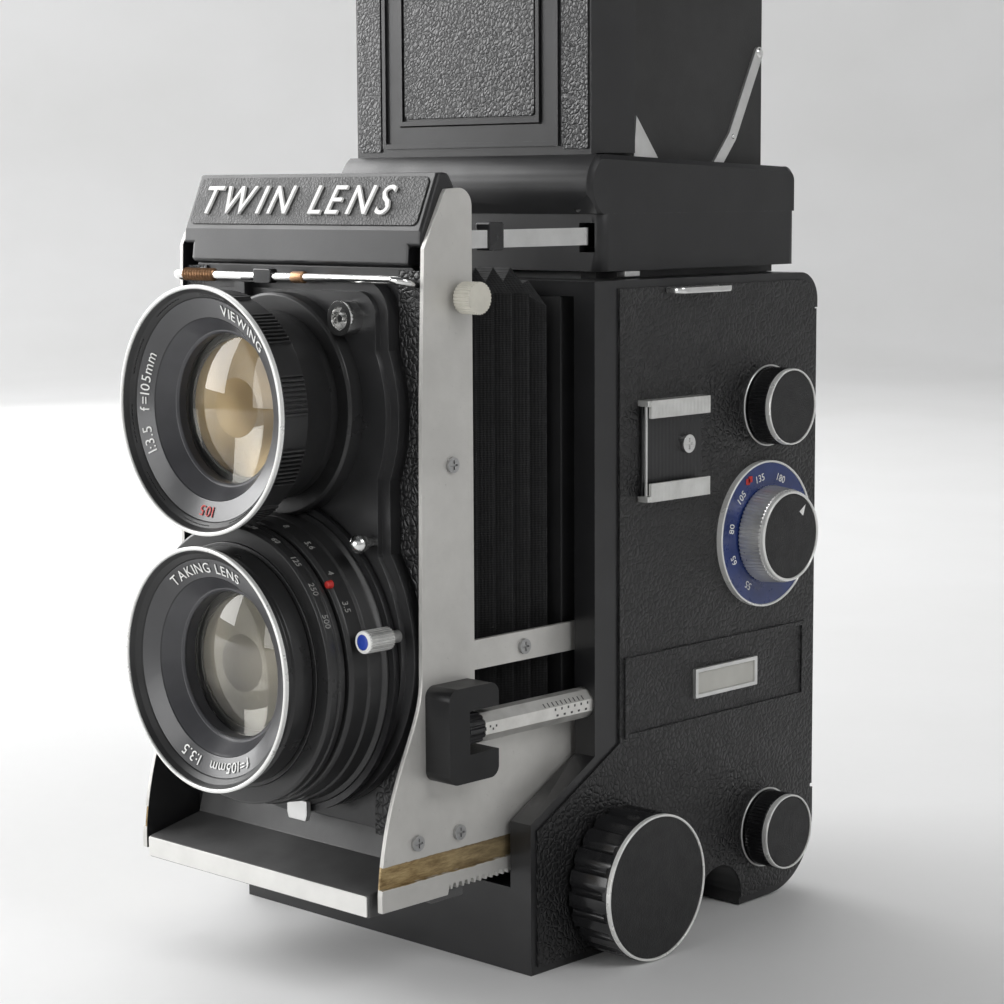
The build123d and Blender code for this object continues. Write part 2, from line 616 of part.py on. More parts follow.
def make_strap_lugs():
    lug = block(43, 47.0, -6, 11.8, 133.0, 134.3)
    lug = fillet(lug.edges().filter_by(Axis.Z).group_by(Axis.X)[-1], 2.0)
    lug -= block(44.6, 46.0, -3.4, 9.2, 132, 135)
    lugs = both_sides(lug)
    return Compound([*lugs.solids()])


def make_card_frame():
    frame = block(43, 43.9, 3.2, 24, 48.3, 54.6)
    return frame - block(42.9, 45, 4.1, 23.1, 49.2, 53.7)


def make_counter_window():
    return rod_x(8, 120, 5.2, -44.0, -43)


def make_bellows():
    """Plain tube of the bellows' outer size; its top drops into the body at the rear."""
    outer = outline((FRAME_REAR, 139.4), (-31.5, 138.8), (-26.9, 132.4), (-26.9, 22), (FRAME_REAR, 22))
    inner = outline((FRAME_REAR - 1, 137.6), (-32.4, 137.0), (-26.9, 129.4), (-25.9, 129.4),
                    (-25.9, 24), (FRAME_REAR - 1, 24))
    return side_solid(outer, -32, 32) - side_solid(inner, -30, 30)


def make_bellows_frame():
    ring = block(-33.4, 33.4, -26.9, CAVITY_FRONT, 18.4, 133)
    return ring - block(-28.5, 28.5, -28, -20, 24.4, 130.4)


pieces = {
    "body_shell": make_body_shell(),
    "leatherette_left": make_leatherette("left"),
    "leatherette_right": make_leatherette("right"),
    "base_plate": make_base_plate(),
    "film_gate": make_film_gate(),
    "reflex_mirror": make_mirror(),
    "focusing_screen": block(-29.1, 29.1, -17.1, 38.1, 134.4, BODY_TOP),
    "finder_base": make_finder_base(),
    "finder_cover": make_finder_cover(),
    "accessory_shoe": make_shoe(),
    "shoe_screw": cross_head(-0.2, 102.2, 43.6, 44.7, 1.9),
    "card_frame": make_card_frame(),
    "memo_card": block(43, 43.4, 4.1, 23.1, 49.2, 53.7),
    "strap_lugs": make_strap_lugs(),
    "dial_plate": make_dial_plate(),
    "counter_window": make_counter_window(),
    "bellows_frame": make_bellows_frame(),
    "bellows": make_bellows(),
    "standard_frame": make_standard_frame(),
    "side_plate_left": make_side_plate("left"),
    "side_plate_right": make_side_plate("right"),
    "nameplate": make_nameplate(),
    "front_shelf": make_front_shelf(),
    "scale_bracket": make_scale_bracket(),
    "lens_board": make_lens_board(),
    "viewing_barrel": make_viewing_barrel(),
    "viewing_glass": dome_glass(14.45, VIEWING_Z, -80.6, -83.6, -86.3),
    "shutter_housing": make_shutter_housing(),
    "taking_barrel": make_taking_barrel(),
    "taking_glass": dome_glass(14.35, TAKING_Z, -80.8, -82.8, -85.2),
    "sync_socket": make_sync_socket(),
    "plate_screws": make_plate_screws(),
    "parallax_bar": make_parallax_bar(),
    "focus_shaft": make_focus_shaft(),
    "focus_knob_left": make_focus_knob("left"),
    "focus_knob_right": make_focus_knob("right"),
    "scale_rod": make_scale_rod(),
    "lens_wire": make_lens_wire(),
    "wire_knob": make_wire_knob(),
    "cocking_lever": make_cocking_lever(),
    "speed_ring": make_speed_ring(),
    "film_knob_upper": make_film_knob(SPOOL_TOP_Z),
    "film_knob_lower": make_film_knob(SPOOL_LOW_Z),
    "lens_change_knob": make_lens_change_knob(),
    "winding_crank": make_crank(),
    "crank_grip": make_crank_grip(),
    "takeup_spool": make_spool(SPOOL_TOP_Z),
    "supply_spool": make_spool(SPOOL_LOW_Z),
    "back_door": make_back_door(),
    "pressure_plate": make_pressure_plate(),
    "door_latch": block(-9, 9, 46.4, 48, 116, 122),
    "hood_lid": make_hood_lid(),
    "sports_door": make_sports_door(),
    "magnifier": make_magnifier(),
    "hood_rear": make_hood_rear(),
    "hood_side_left": make_hood_side("left"),
    "hood_side_right": make_hood_side("right"),
    "hood_stays_left": make_hood_stays("left"),
    "hood_stays_right": make_hood_stays("right"),
    "shutter_release": make_release(),
}

for piece_name, piece in pieces.items():
    save(piece_name, piece)
print(len(pieces), "pieces")
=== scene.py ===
import math
from math import cos, pi, radians, sin, sqrt

import bmesh
import bpy
from mathutils import Matrix, Vector


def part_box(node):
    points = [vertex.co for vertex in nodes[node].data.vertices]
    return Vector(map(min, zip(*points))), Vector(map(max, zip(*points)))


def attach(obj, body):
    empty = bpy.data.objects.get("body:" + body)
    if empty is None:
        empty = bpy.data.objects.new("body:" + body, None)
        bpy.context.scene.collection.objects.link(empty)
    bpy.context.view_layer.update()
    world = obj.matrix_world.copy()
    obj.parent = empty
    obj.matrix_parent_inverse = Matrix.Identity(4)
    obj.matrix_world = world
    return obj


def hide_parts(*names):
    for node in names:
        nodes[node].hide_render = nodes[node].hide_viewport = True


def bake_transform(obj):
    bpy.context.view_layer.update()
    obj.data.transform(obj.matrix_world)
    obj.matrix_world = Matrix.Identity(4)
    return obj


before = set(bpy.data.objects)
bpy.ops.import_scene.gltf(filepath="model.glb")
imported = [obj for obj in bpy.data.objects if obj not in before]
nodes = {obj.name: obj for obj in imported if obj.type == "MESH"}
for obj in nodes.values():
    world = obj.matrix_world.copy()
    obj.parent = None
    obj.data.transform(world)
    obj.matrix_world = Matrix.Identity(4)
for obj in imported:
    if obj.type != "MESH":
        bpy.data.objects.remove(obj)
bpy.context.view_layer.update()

MM = 0.001
RIGHT, BACK = Vector((1, 0, 0)), Vector((0, 1, 0))


def low(node):
    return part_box(node)[0] / MM


def high(node):
    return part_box(node)[1] / MM


def middle(node):
    return (low(node) + high(node)) / 2


# ---- shader nodes ---------------------------------------------------------
class Net:
    """One procedural material; every length given to it is in millimetres."""

    def __init__(self, name):
        self.material = bpy.data.materials.new(name)
        self.material.use_nodes = True
        self.tree = self.material.node_tree
        self.shader = self.tree.nodes["Principled BSDF"]
        self.coords = self.add("TexCoord").outputs["Object"]

    def add(self, kind, inputs=None, **settings):
        node = self.tree.nodes.new("ShaderNode" + kind)
        for key, value in settings.items():
            setattr(node, key, value)
        for key, value in (inputs or {}).items():
            self.feed(node.inputs[key], value)
        return node

    def feed(self, socket, value):
        if isinstance(value, bpy.types.NodeSocket):
            self.tree.links.new(value, socket)
        else:
            socket.default_value = value

    def set(self, name, value):
        self.feed(self.shader.inputs[name], value)

    def math(self, operation, a, b=0.0):
        node = self.add("Math", operation=operation)
        self.feed(node.inputs[0], a)
        self.feed(node.inputs[1], b)
        return node.outputs[0]

    def noise(self, size, detail=3.0, rough=0.55, coords=None):
        node = self.add("TexNoise", {
            "Vector": coords or self.coords, "Scale": 1 / (size * MM),
            "Detail": detail, "Roughness": rough})
        return node.outputs["Fac"]

    def spread(self, value, low_in, high_in, low_out, high_out):
        node = self.add("MapRange", {
            "Value": value, "From Min": low_in, "From Max": high_in,
            "To Min": low_out, "To Max": high_out})
        return node.outputs["Result"]

    def cloud(self, low_out, high_out, size, detail=3.0, rough=0.55):
        """Noise whose usual span is spread between two values."""
        return self.spread(self.noise(size, detail, rough), 0.3, 0.7, low_out, high_out)

    def mix(self, share, a, b):
        node = self.add("Mix", data_type="RGBA")
        self.feed(node.inputs["Factor"], share)
        for name, value in (("A", a), ("B", b)):
            socket = [s for s in node.inputs if s.name == name and s.type == "RGBA"][0]
            self.feed(socket, value)
        return [s for s in node.outputs if s.type == "RGBA"][0]

    def stretched(self, x, y, z):
        node = self.add("Mapping", {"Vector": self.coords, "Scale": (x, y, z)})
        return node.outputs["Vector"]

    def axis(self, letter):
        node = self.add("SeparateXYZ", {"Vector": self.coords})
        return node.outputs[letter]

    def bump(self, height, depth, strength=1.0, base=None):
        inputs = {"Height": height, "Distance": depth * MM, "Strength": strength}
        if base is not None:
            inputs["Normal"] = base
        return self.add("Bump", inputs).outputs["Normal"]

    def edges(self, radius):
        """About 1 on sharp edges within a radius, 0 on flats."""
        soft = self.add("Bevel", {"Radius": radius * MM}, samples=4).outputs["Normal"]
        sharp = self.add("NewGeometry").outputs["Normal"]
        dot = self.add("VectorMath", {0: soft, 1: sharp}, operation="DOT_PRODUCT")
        return self.spread(dot.outputs["Value"], 0.995, 0.86, 0.0, 1.0)


def rgba(colour, gain=1.0):
    return tuple(min(1.0, c * gain) for c in colour) + (1.0,)


def finish(name, colour, rough, metallic=0.0, mottle=0.12, mottle_size=9.0, rough_spread=0.07,
        grain=0.25, grain_depth=0.01, coat=0.0, specular=0.5, worn=None, wear=0.0, wear_radius=0.3):
    """Painted, plated or moulded surface with mottling, smudges, fine grain and edge wear."""
    net = Net(name)
    patch = net.noise(mottle_size, 4.0)
    tone = net.spread(patch, 0.3, 0.7, 0.0, 1.0)
    base = net.mix(tone, rgba(colour, 1 - mottle), rgba(colour, 1 + mottle))
    if worn:
        chips = net.spread(net.noise(1.6, 5.0, 0.7), 0.48, 0.62, 0.0, 1.0)
        share = net.math("MULTIPLY", net.edges(wear_radius), net.math("MULTIPLY", chips, wear))
        base = net.mix(share, base, rgba(worn))
    net.set("Base Color", base)
    smudge = net.noise(mottle_size * 1.7, 5.0, 0.65)
    net.set("Roughness", net.spread(smudge, 0.3, 0.7, rough - rough_spread, rough + rough_spread))
    net.set("Normal", net.bump(net.noise(grain, 2.0), grain_depth))
    net.set("Metallic", metallic)
    net.set("Coat Weight", coat)
    net.set("Coat Roughness", 0.18)
    net.set("Specular IOR Level", specular)
    return net.material


def pebbled(name, cell, depth, colour, rough, coat):
    """Pebbled leather: cells of uneven size with narrow creases and fine grain on top; the creases carry painted shade
    and the pebble tops are painted lighter, both following the bump height.
    """
    net = Net(name)
    warp = net.add("TexNoise", {"Vector": net.coords, "Scale": 1 / (cell * 2.2 * MM),
        "Detail": 2.0})
    shift = net.add("VectorMath", {0: warp.outputs["Color"], 1: (0.5, 0.5, 0.5)},
        operation="SUBTRACT")
    push = net.add("VectorMath", {0: shift.outputs["Vector"], "Scale": cell * 1.3 * MM},
        operation="SCALE")
    place = net.add("VectorMath", {0: net.coords, 1: push.outputs["Vector"]}, operation="ADD")
    cells = net.add("TexVoronoi", {"Vector": place.outputs["Vector"], "Scale": 1 / (cell * MM)},
        feature="DISTANCE_TO_EDGE")
    tops = net.spread(cells.outputs["Distance"], 0.0, 0.34, 0.0, 1.0)
    tops = net.math("POWER", tops, 0.6)
    swell = net.noise(cell * 1.8, 2.0)
    height = net.math("ADD", net.math("MULTIPLY", tops, 0.62), net.math("MULTIPLY", swell, 0.55))
    fine = net.math("MULTIPLY", net.noise(cell * 0.22, 2.0), 0.10)
    height = net.math("ADD", height, fine)
    # painted shade and highlight: the colour is darkened in the creases and lightened on the pebble tops, using the
    # same mask as the bump height
    shaded_creases_lit_tops = net.mix(tops, rgba(colour, 0.55), rgba(colour, 1.25))
    dust = net.spread(net.noise(14.0, 5.0, 0.6), 0.45, 0.75, 0.0, 0.35)
    net.set("Base Color", net.mix(dust, shaded_creases_lit_tops, rgba(colour, 2.1)))
    net.set("Roughness", net.cloud(rough - 0.07, rough + 0.09, cell * 5, 4.0))
    net.set("Normal", net.bump(height, depth))
    net.set("Coat Weight", coat)
    net.set("Coat Roughness", 0.24)
    return net.material


def plate_metal():
    """Light satin plate: faint streaks, a darker inner face and an aged strip low down."""
    net = Net("satin_plate")
    colour = (0.60, 0.59, 0.565)
    tone = net.cloud(0.0, 1.0, 16.0, 5.0, 0.6)
    base = net.mix(tone, rgba(colour, 0.90), rgba(colour, 1.08))
    specks = net.spread(net.noise(0.9, 3.0, 0.7), 0.66, 0.74, 0.0, 0.35)
    base = net.mix(specks, base, rgba(colour, 0.55))
    top_z, low_z = 27.4, 23.2
    height = net.axis("Z")
    rough_edge = net.math("MULTIPLY", net.math("SUBTRACT", net.noise(3.0, 4.0), 0.5), 0.7 * MM)
    height = net.math("ADD", height, rough_edge)
    above = net.spread(height, (low_z - 0.1) * MM, low_z * MM, 0.0, 1.0)
    below = net.spread(height, top_z * MM, (top_z + 0.1) * MM, 1.0, 0.0)
    strip = net.math("MULTIPLY", above, below)
    streak = net.noise(2.2, 5.0, 0.7, net.stretched(1, 0.35, 1.8))
    aged = net.mix(net.spread(streak, 0.35, 0.65, 0.0, 1.0), (0.17, 0.105, 0.035, 1), (0.47, 0.35, 0.17, 1))
    along = net.spread(net.axis("Y"), -72 * MM, -38 * MM, 0.0, 1.0)
    aged = net.mix(net.math("MULTIPLY", along, 0.75), aged, (0.12, 0.105, 0.075, 1))
    base = net.mix(strip, base, aged)
    side = net.math("ABSOLUTE", net.axis("X"))
    inner = net.spread(side, 34.74 * MM, 34.82 * MM, 1.0, 0.0)
    base = net.mix(inner, base, (0.02, 0.02, 0.021, 1))
    net.set("Base Color", base)
    metal = net.math("MULTIPLY", net.math("SUBTRACT", 1.0, inner), net.spread(strip, 0.0, 1.0, 0.55, 0.25))
    net.set("Metallic", metal)
    net.set("Roughness", net.cloud(0.40, 0.54, 7.0, 5.0, 0.65))
    grain = net.noise(0.35, 3.0, 0.6, net.stretched(1, 0.25, 1))
    net.set("Normal", net.bump(grain, 0.012))
    return net.material


def scale_metal():
    """Light scale rod whose front end is the black serrated knob."""
    net = Net("scale_rod")
    knob_end = -57.72
    front = net.spread(net.axis("Y"), knob_end * MM, (knob_end + 0.04) * MM, 1.0, 0.0)
    tone = net.spread(net.noise(5.0, 5.0, 0.6), 0.35, 0.65, 0.0, 1.0)
    metal = net.mix(tone, (0.66, 0.65, 0.62, 1), (0.80, 0.79, 0.76, 1))
    net.set("Base Color", net.mix(front, metal, (0.016, 0.016, 0.017, 1)))
    net.set("Metallic", net.spread(front, 0.0, 1.0, 0.6, 0.0))
    net.set("Roughness", net.cloud(0.32, 0.46, 4.0))
    net.set("Normal", net.bump(net.noise(0.3, 2.0), 0.008))
    return net.material


def shoe_metal():
    """Silver rails on a black base; the rails are finely ribbed."""
    net = Net("shoe_metal")
    base_x, rail_low, rail_high = 43.75, 92.5, 110.8
    height = net.axis("Z")
    between = net.math("MULTIPLY", net.spread(height, rail_low * MM, (rail_low + 0.05) * MM, 0.0, 1.0),
        net.spread(height, (rail_high - 0.05) * MM, rail_high * MM, 1.0, 0.0))
    flat = net.spread(net.axis("X"), (base_x - 0.05) * MM, base_x * MM, 1.0, 0.0)
    black = net.math("MULTIPLY", between, flat)
    tone = net.cloud(0.0, 1.0, 4.0, 4.0)
    silver = net.mix(tone, (0.62, 0.62, 0.60, 1), (0.78, 0.78, 0.76, 1))
    net.set("Base Color", net.mix(black, silver, (0.014, 0.014, 0.015, 1)))
    net.set("Metallic", net.spread(black, 0.0, 1.0, 0.75, 0.0))
    net.set("Roughness", net.cloud(0.30, 0.42, 3.0))
    ribbing = net.add("TexWave", {"Vector": net.coords, "Scale": 1 / (3.6 * MM)},
        wave_type="BANDS", bands_direction="Y")
    net.set("Normal", net.bump(ribbing.outputs["Fac"], 0.03))
    return net.material


def lever_metal(place, ring_r):
    """Black ring close to the lens axis, silver stem and knob outside it."""
    net = Net("lever_metal")
    across = net.math("SUBTRACT", net.axis("X"), place[0] * MM)
    along = net.math("SUBTRACT", net.axis("Z"), place[1] * MM)
    reach = net.math("SQRT", net.math("ADD", net.math("MULTIPLY", across, across),
        net.math("MULTIPLY", along, along)))
    outside = net.spread(reach, (ring_r - 0.02) * MM, ring_r * MM, 0.0, 1.0)
    tone = net.cloud(0.0, 1.0, 2.0, 4.0)
    silver = net.mix(tone, (0.60, 0.60, 0.59, 1), (0.74, 0.74, 0.72, 1))
    net.set("Base Color", net.mix(outside, (0.013, 0.013, 0.014, 1), silver))
    net.set("Metallic", net.spread(outside, 0.0, 1.0, 0.0, 0.8))
    net.set("Roughness", net.cloud(0.30, 0.42, 2.0))
    net.set("Normal", net.bump(net.noise(0.4, 2.0), 0.008))
    return net.material


def bellows_cloth():
    """Matte pleated cloth with a fine weave and paler, scuffed fold lines."""
    net = Net("bellows_cloth")
    height = 0.0
    for direction in "ZY":
        wave = net.add("TexWave", {"Vector": net.coords, "Scale": 1 / (1.1 * MM),
            "Distortion": 1.5,
            "Detail": 1.0}, wave_type="BANDS", bands_direction=direction)
        height = net.math("ADD", wave.outputs["Fac"], height)
    tone = net.cloud(0.0, 1.0, 6.0, 4.0)
    base = net.mix(tone, (0.005, 0.005, 0.0055, 1), (0.011, 0.011, 0.012, 1))
    fold = net.math("MULTIPLY", net.edges(0.5), net.spread(net.noise(3.0, 4.0), 0.35, 0.65, 0.15, 0.7))
    net.set("Base Color", net.mix(fold, base, (0.05, 0.05, 0.051, 1)))
    net.set("Roughness", net.cloud(0.62, 0.78, 2.0))
    net.set("Normal", net.bump(height, 0.03))
    net.set("Sheen Weight", 0.08)
    return net.material


def coated_glass(name, tint, rough=0.0):
    net = Net(name)
    net.set("Base Color", net.mix(net.cloud(0.0, 1.0, 12.0), rgba(tint, 0.97), rgba(tint)))
    net.set("Roughness", net.cloud(rough, rough + 0.02, 6.0))
    net.set("Transmission Weight", 1.0)
    net.set("IOR", 1.52)
    return net.material


def dyed(name, dark, light, size, rough, metallic=0.0):
    """Two tones mixed by a coarse pattern, for the coated inner elements."""
    net = Net(name)
    net.set("Base Color", net.mix(net.spread(net.noise(size, 1.0), 0.35, 0.65, 0.0, 1.0), rgba(dark),
        rgba(light)))
    net.set("Roughness", net.cloud(rough, rough + 0.06, size * 2))
    net.set("Metallic", metallic)
    return net.material


BLACK = (0.013, 0.013, 0.014)
board_paint = finish("board_enamel", (0.024, 0.024, 0.025), 0.34, mottle=0.2, grain=0.5, grain_depth=0.014,
    coat=0.2,
    worn=(0.10, 0.10, 0.10), wear=0.3)
enamel = finish("black_enamel", BLACK, 0.36, mottle=0.2, grain=0.5, grain_depth=0.012, coat=0.15,
    worn=(0.10, 0.10, 0.10), wear=0.35)
finder_paint = finish("finder_enamel", (0.017, 0.017, 0.018), 0.40, mottle=0.15, grain=0.45,
    grain_depth=0.02, worn=(0.11, 0.11, 0.11), wear=0.3)
barrel_paint = finish("barrel_black", (0.021, 0.021, 0.0215), 0.33, mottle=0.12, grain=0.3,
    grain_depth=0.008, worn=(0.14, 0.14, 0.14), wear=0.45)
gloss_black = finish("knob_plastic", (0.012, 0.012, 0.013), 0.24, mottle=0.1, grain=0.6,
    grain_depth=0.006, coat=0.3, worn=(0.06, 0.06, 0.06), wear=0.3)
matte_black = finish("matte_black", (0.016, 0.016, 0.017), 0.62, mottle=0.2, grain=0.35, grain_depth=0.02)
hood_grey = finish("hood_paint", (0.034, 0.034, 0.034), 0.6, mottle=0.12, grain=0.4, grain_depth=0.03,
    specular=0.35)
chrome = finish("chrome", (0.80, 0.80, 0.79), 0.16, metallic=1.0, mottle=0.06, mottle_size=4.0,
    rough_spread=0.06, grain=0.8, grain_depth=0.004)
satin_chrome = finish("satin_chrome", (0.70, 0.70, 0.69), 0.34, metallic=0.85, mottle=0.08,
    mottle_size=5.0, grain=0.25, grain_depth=0.01)
steel = finish("machined_steel", (0.42, 0.42, 0.42), 0.38, metallic=1.0, mottle=0.1, grain=0.3)
rim_white = finish("rim_white", (0.82, 0.82, 0.80), 0.3, metallic=0.35, mottle=0.05, grain=0.3)
shelf_silver = finish("shelf_silver", (0.74, 0.735, 0.71), 0.42, metallic=0.4, mottle=0.06,
    grain=0.3, grain_depth=0.012)
shelf_grey = finish("shelf_grey", (0.10, 0.10, 0.10), 0.5, metallic=0.2, mottle=0.15, grain=0.4,
    grain_depth=0.02)
print_white = finish("print_white", (0.88, 0.88, 0.86), 0.5, mottle=0.08, mottle_size=1.5)
print_grey = finish("print_grey", (0.30, 0.30, 0.29), 0.5, mottle=0.15, mottle_size=1.5)
print_red = finish("print_red", (0.52, 0.025, 0.02), 0.45, mottle=0.15, mottle_size=1.5)
print_dark = finish("print_dark", (0.05, 0.05, 0.05), 0.5, mottle=0.2, mottle_size=1.5)
ivory = finish("ivory_knob", (0.60, 0.58, 0.51), 0.42, mottle=0.08, mottle_size=3.0)
card_paper = finish("card_paper", (0.50, 0.495, 0.46), 0.7, mottle=0.06, mottle_size=4.0, grain_depth=0.02)
blue_enamel = finish("dial_enamel", (0.010, 0.028, 0.14), 0.30, mottle=0.2, mottle_size=3.0, coat=0.3)
blue_tip = finish("blue_tip", (0.02, 0.06, 0.42), 0.35, mottle=0.1, mottle_size=2.0)
leather_fine = pebbled("leatherette", 1.25, 0.26, colour=(0.008, 0.008, 0.0085), rough=0.36, coat=0.06)
leather_coarse = pebbled("leatherette_coarse", 1.0, 0.24, colour=(0.010, 0.010, 0.011), rough=0.33,
    coat=0.25)
leather_name = pebbled("leatherette_name", 0.8, 0.11, colour=(0.010, 0.010, 0.010), rough=0.42, coat=0.12)
leather_face = pebbled("leatherette_face", 0.55, 0.07, colour=(0.008, 0.008, 0.0085), rough=0.48, coat=0.0)
plate_finish = plate_metal()
rod_finish = scale_metal()
cloth = bellows_cloth()
clear_glass = coated_glass("coated_glass", (0.95, 0.93, 0.86))
frosted = coated_glass("ground_glass", (0.85, 0.87, 0.85), 0.35)
silvered = finish("silvered_mirror", (0.88, 0.88, 0.9), 0.04, metallic=1.0, mottle=0.02, rough_spread=0.02,
    grain_depth=0.0)
amber = dyed("amber_coating", (0.20, 0.13, 0.05), (0.62, 0.47, 0.26), 16.0, 0.18, 0.4)
smoke = dyed("smoke_coating", (0.10, 0.095, 0.085), (0.36, 0.34, 0.30), 18.0, 0.2, 0.35)

shoe_finish = shoe_metal()
lever_finish = lever_metal((0.0, middle("taking_glass")[2]), 31.4)
bracket_black = finish("bracket_black", (0.010, 0.010, 0.0105), 0.40, mottle=0.1, grain=0.6,
    grain_depth=0.008, specular=0.35, worn=(0.07, 0.07, 0.07), wear=0.35)
copper = finish("copper_wire", (0.42, 0.24, 0.13), 0.34, metallic=0.9, mottle=0.2, mottle_size=1.0)

SKINS = {
    "body_shell": (enamel, 0.5), "leatherette_left": (leather_fine, 0.3),
    "leatherette_right": (leather_fine, 0.3),
    "base_plate": (enamel, 0.3), "film_gate": (steel, 0.1), "reflex_mirror": (silvered, 0),
    "focusing_screen": (frosted, 0), "finder_base": (finder_paint, 0.45),
    "finder_cover": (finder_paint, 0.7),
    "accessory_shoe": (shoe_finish, 0.12), "shoe_screw": (chrome, 0.15), "card_frame": (satin_chrome, 0.15),
    "memo_card": (card_paper, 0), "strap_lugs": (chrome, 0.25), "counter_window": (clear_glass, 0.2),
    "bellows_frame": (matte_black, 0.3), "standard_frame": (enamel, 0.4),
    "side_plate_left": (plate_finish, 0.3),
    "side_plate_right": (plate_finish, 0.3), "nameplate": (enamel, 0.8), "front_shelf": (shelf_grey, 0.3),
    "scale_bracket": (bracket_black, 1.3), "lens_board": (board_paint, 0.6),
    "viewing_glass": (clear_glass, 0),
    "taking_glass": (clear_glass, 0), "sync_socket": (chrome, 0.25), "plate_screws": (steel, 0.12),
    "parallax_bar": (chrome, 0.2), "focus_shaft": (steel, 0), "scale_rod": (rod_finish, 0.15),
    "lens_wire": (chrome, 0), "wire_knob": (ivory, 0.12), "cocking_lever": (lever_finish, 0.1),
    "winding_crank": (satin_chrome, 0.35), "crank_grip": (gloss_black, 0.3),
    "takeup_spool": (matte_black, 0.2),
    "supply_spool": (matte_black, 0.2), "back_door": (leather_fine, 0.4),
    "pressure_plate": (matte_black, 0.2),
    "door_latch": (satin_chrome, 0.3), "hood_lid": (enamel, 0.3), "sports_door": (enamel, 0.3),
    "magnifier": (enamel, 0.2), "hood_rear": (hood_grey, 0.2), "hood_side_left": (hood_grey, 0.2),
    "hood_side_right": (hood_grey, 0.2), "hood_stays_left": (satin_chrome, 0.12),
    "hood_stays_right": (satin_chrome, 0.12), "shutter_release": (satin_chrome, 0.25),
}


def soften(piece, width):
    """Rounds a piece's sharp edges without touching its mesh."""
    weld = piece.modifiers.new("weld", "WELD")
    weld.merge_threshold = 0.002 * MM
    bevel = piece.modifiers.new("bevel", "BEVEL")
    bevel.width = width * MM
    bevel.segments = 2
    bevel.limit_method = "ANGLE"
    bevel.angle_limit = radians(34)
    bevel.use_clamp_overlap = True
    bevel.harden_normals = True


for node_name, (skin, edge) in SKINS.items():
    piece = nodes[node_name]
    piece.data.materials.clear()
    piece.data.materials.append(skin)
    if edge:
        soften(piece, edge)


# ---- mesh helpers ---------------------------------------------------------
def add_piece(name, verts, faces, skin, body, slot, hides=(), smooth=38, edge=0.0):
    """A new mesh piece from millimetre points, riding on a body."""
    mesh = bpy.data.meshes.new(name)
    mesh.from_pydata([Vector(v) * MM for v in verts], [], faces)
    tidy = bmesh.new()
    tidy.from_mesh(mesh)
    bmesh.ops.remove_doubles(tidy, verts=tidy.verts, dist=0.0005 * MM)
    bmesh.ops.recalc_face_normals(tidy, faces=tidy.faces)
    tidy.to_mesh(mesh)
    tidy.free()
    mesh.shade_smooth()
    mesh.set_sharp_from_angle(angle=radians(smooth))
    piece = bpy.data.objects.new(name, mesh)
    bpy.context.scene.collection.objects.link(piece)
    mesh.materials.append(skin)
    if edge:
        soften(piece, edge)
    if body:
        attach(piece, body)
    if hides:
        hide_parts(*hides)
    return piece


def rounded(points, radius, steps=3):
    """Rounds the inner corners of an open line of (r, t) points."""
    line = [points[0]]
    for before, here, after in zip(points, points[1:], points[2:]):
        a, b, c = Vector(before), Vector(here), Vector(after)
        reach = min(radius, (a - b).length * 0.45, (c - b).length * 0.45)
        start, end = b + (a - b).normalized() * reach, b + (c - b).normalized() * reach
        for i in range(steps + 1):
            t = i / steps
            line.append(tuple(start * (1 - t) ** 2 + b * 2 * t * (1 - t) + end * t * t))
    return line + [points[-1]]


def on_line(place, axis, t, c, s):
    """The point at t along the line through place, moved (c, s) away from it."""
    if axis == "Y":
        return (place[0] + c, t, place[1] + s)
    return (t, place[0] + c, place[1] + s)


def lathe(name, profile, place, axis, skin, body, slot, segments=128, radius=0.15, closed=False, **extra):
    """Turns (r, t) points about the line through place; t runs along the axis."""
    line = rounded(profile, radius) if radius else list(profile)
    if closed:
        line = line + [line[0]]
    verts, faces = [], []
    for i in range(segments):
        angle = 2 * pi * i / segments
        ca, sa = cos(angle), sin(angle)
        verts += [on_line(place, axis, t, r * ca, r * sa) for r, t in line]
    n = len(line)
    for i in range(segments):
        j = (i + 1) % segments
        for k in range(n - 1):
            faces.append((i * n + k, i * n + k + 1, j * n + k + 1, j * n + k))
    return add_piece(name, verts, faces, skin, body, slot, **extra)


def toothed(name, place, axis, outline, t_ends, skin, body, slot, **extra):
    """Extrudes a polar outline of (angle, r) between ends, with (t, shrink) steps."""
    verts, faces = [], []
    n = len(outline)
    for t, shrink in t_ends:
        for angle, r in outline:
            r -= shrink
            verts.append(on_line(place, axis, t, r * cos(angle), r * sin(angle)))
    for k in range(len(t_ends) - 1):
        for i in range(n):
            j = (i + 1) % n
            faces.append((k * n + i, k * n + j, (k + 1) * n + j, (k + 1) * n + i))
    faces.append(tuple(range(n)))
    faces.append(tuple((len(t_ends) - 1) * n + i for i in range(n)))
    return add_piece(name, verts, faces, skin, body, slot, **extra)


def ribs(name, place, axis, r_root, r_tip, t0, t1, angles, width, skin, body, slot, taper=0.4):
    """Separate knurl ribs standing on a cylinder, at the angles given in degrees."""
    verts, faces = [], []
    for angle in angles:
        a = radians(angle)
        start = len(verts)
        for r, half, t_in in ((r_root, width / 2, 0.0), (r_tip, width * 0.28, taper)):
            for side, t in ((-1, t0 + t_in), (1, t0 + t_in), (1, t1 - t_in), (-1, t1 - t_in)):
                turn = a + side * half / r
                verts.append(on_line(place, axis, t, r * cos(turn), r * sin(turn)))
        for quad in ((4, 5, 6, 7), (0, 1, 5, 4), (1, 2, 6, 5), (2, 3, 7, 6), (3, 0, 4, 7), (3, 2, 1, 0)):
            faces.append(tuple(start + q for q in quad))
    return add_piece(name, verts, faces, skin, body, slot, smooth=30)


def slab(name, points, to3d, depth, skin, body, slot, edge=0.0, **extra):
    """A flat outline of (u, v) points given thickness along the plane's normal."""
    n = len(points)
    verts = [to3d(u, v, 0.0) for u, v in points] + [to3d(u, v, depth) for u, v in points]
    faces = [tuple(reversed(range(n))), tuple(range(n, 2 * n))]
    faces += [(i, (i + 1) % n, n + (i + 1) % n, n + i) for i in range(n)]
    return add_piece(name, verts, faces, skin, body, slot, edge=edge, **extra)


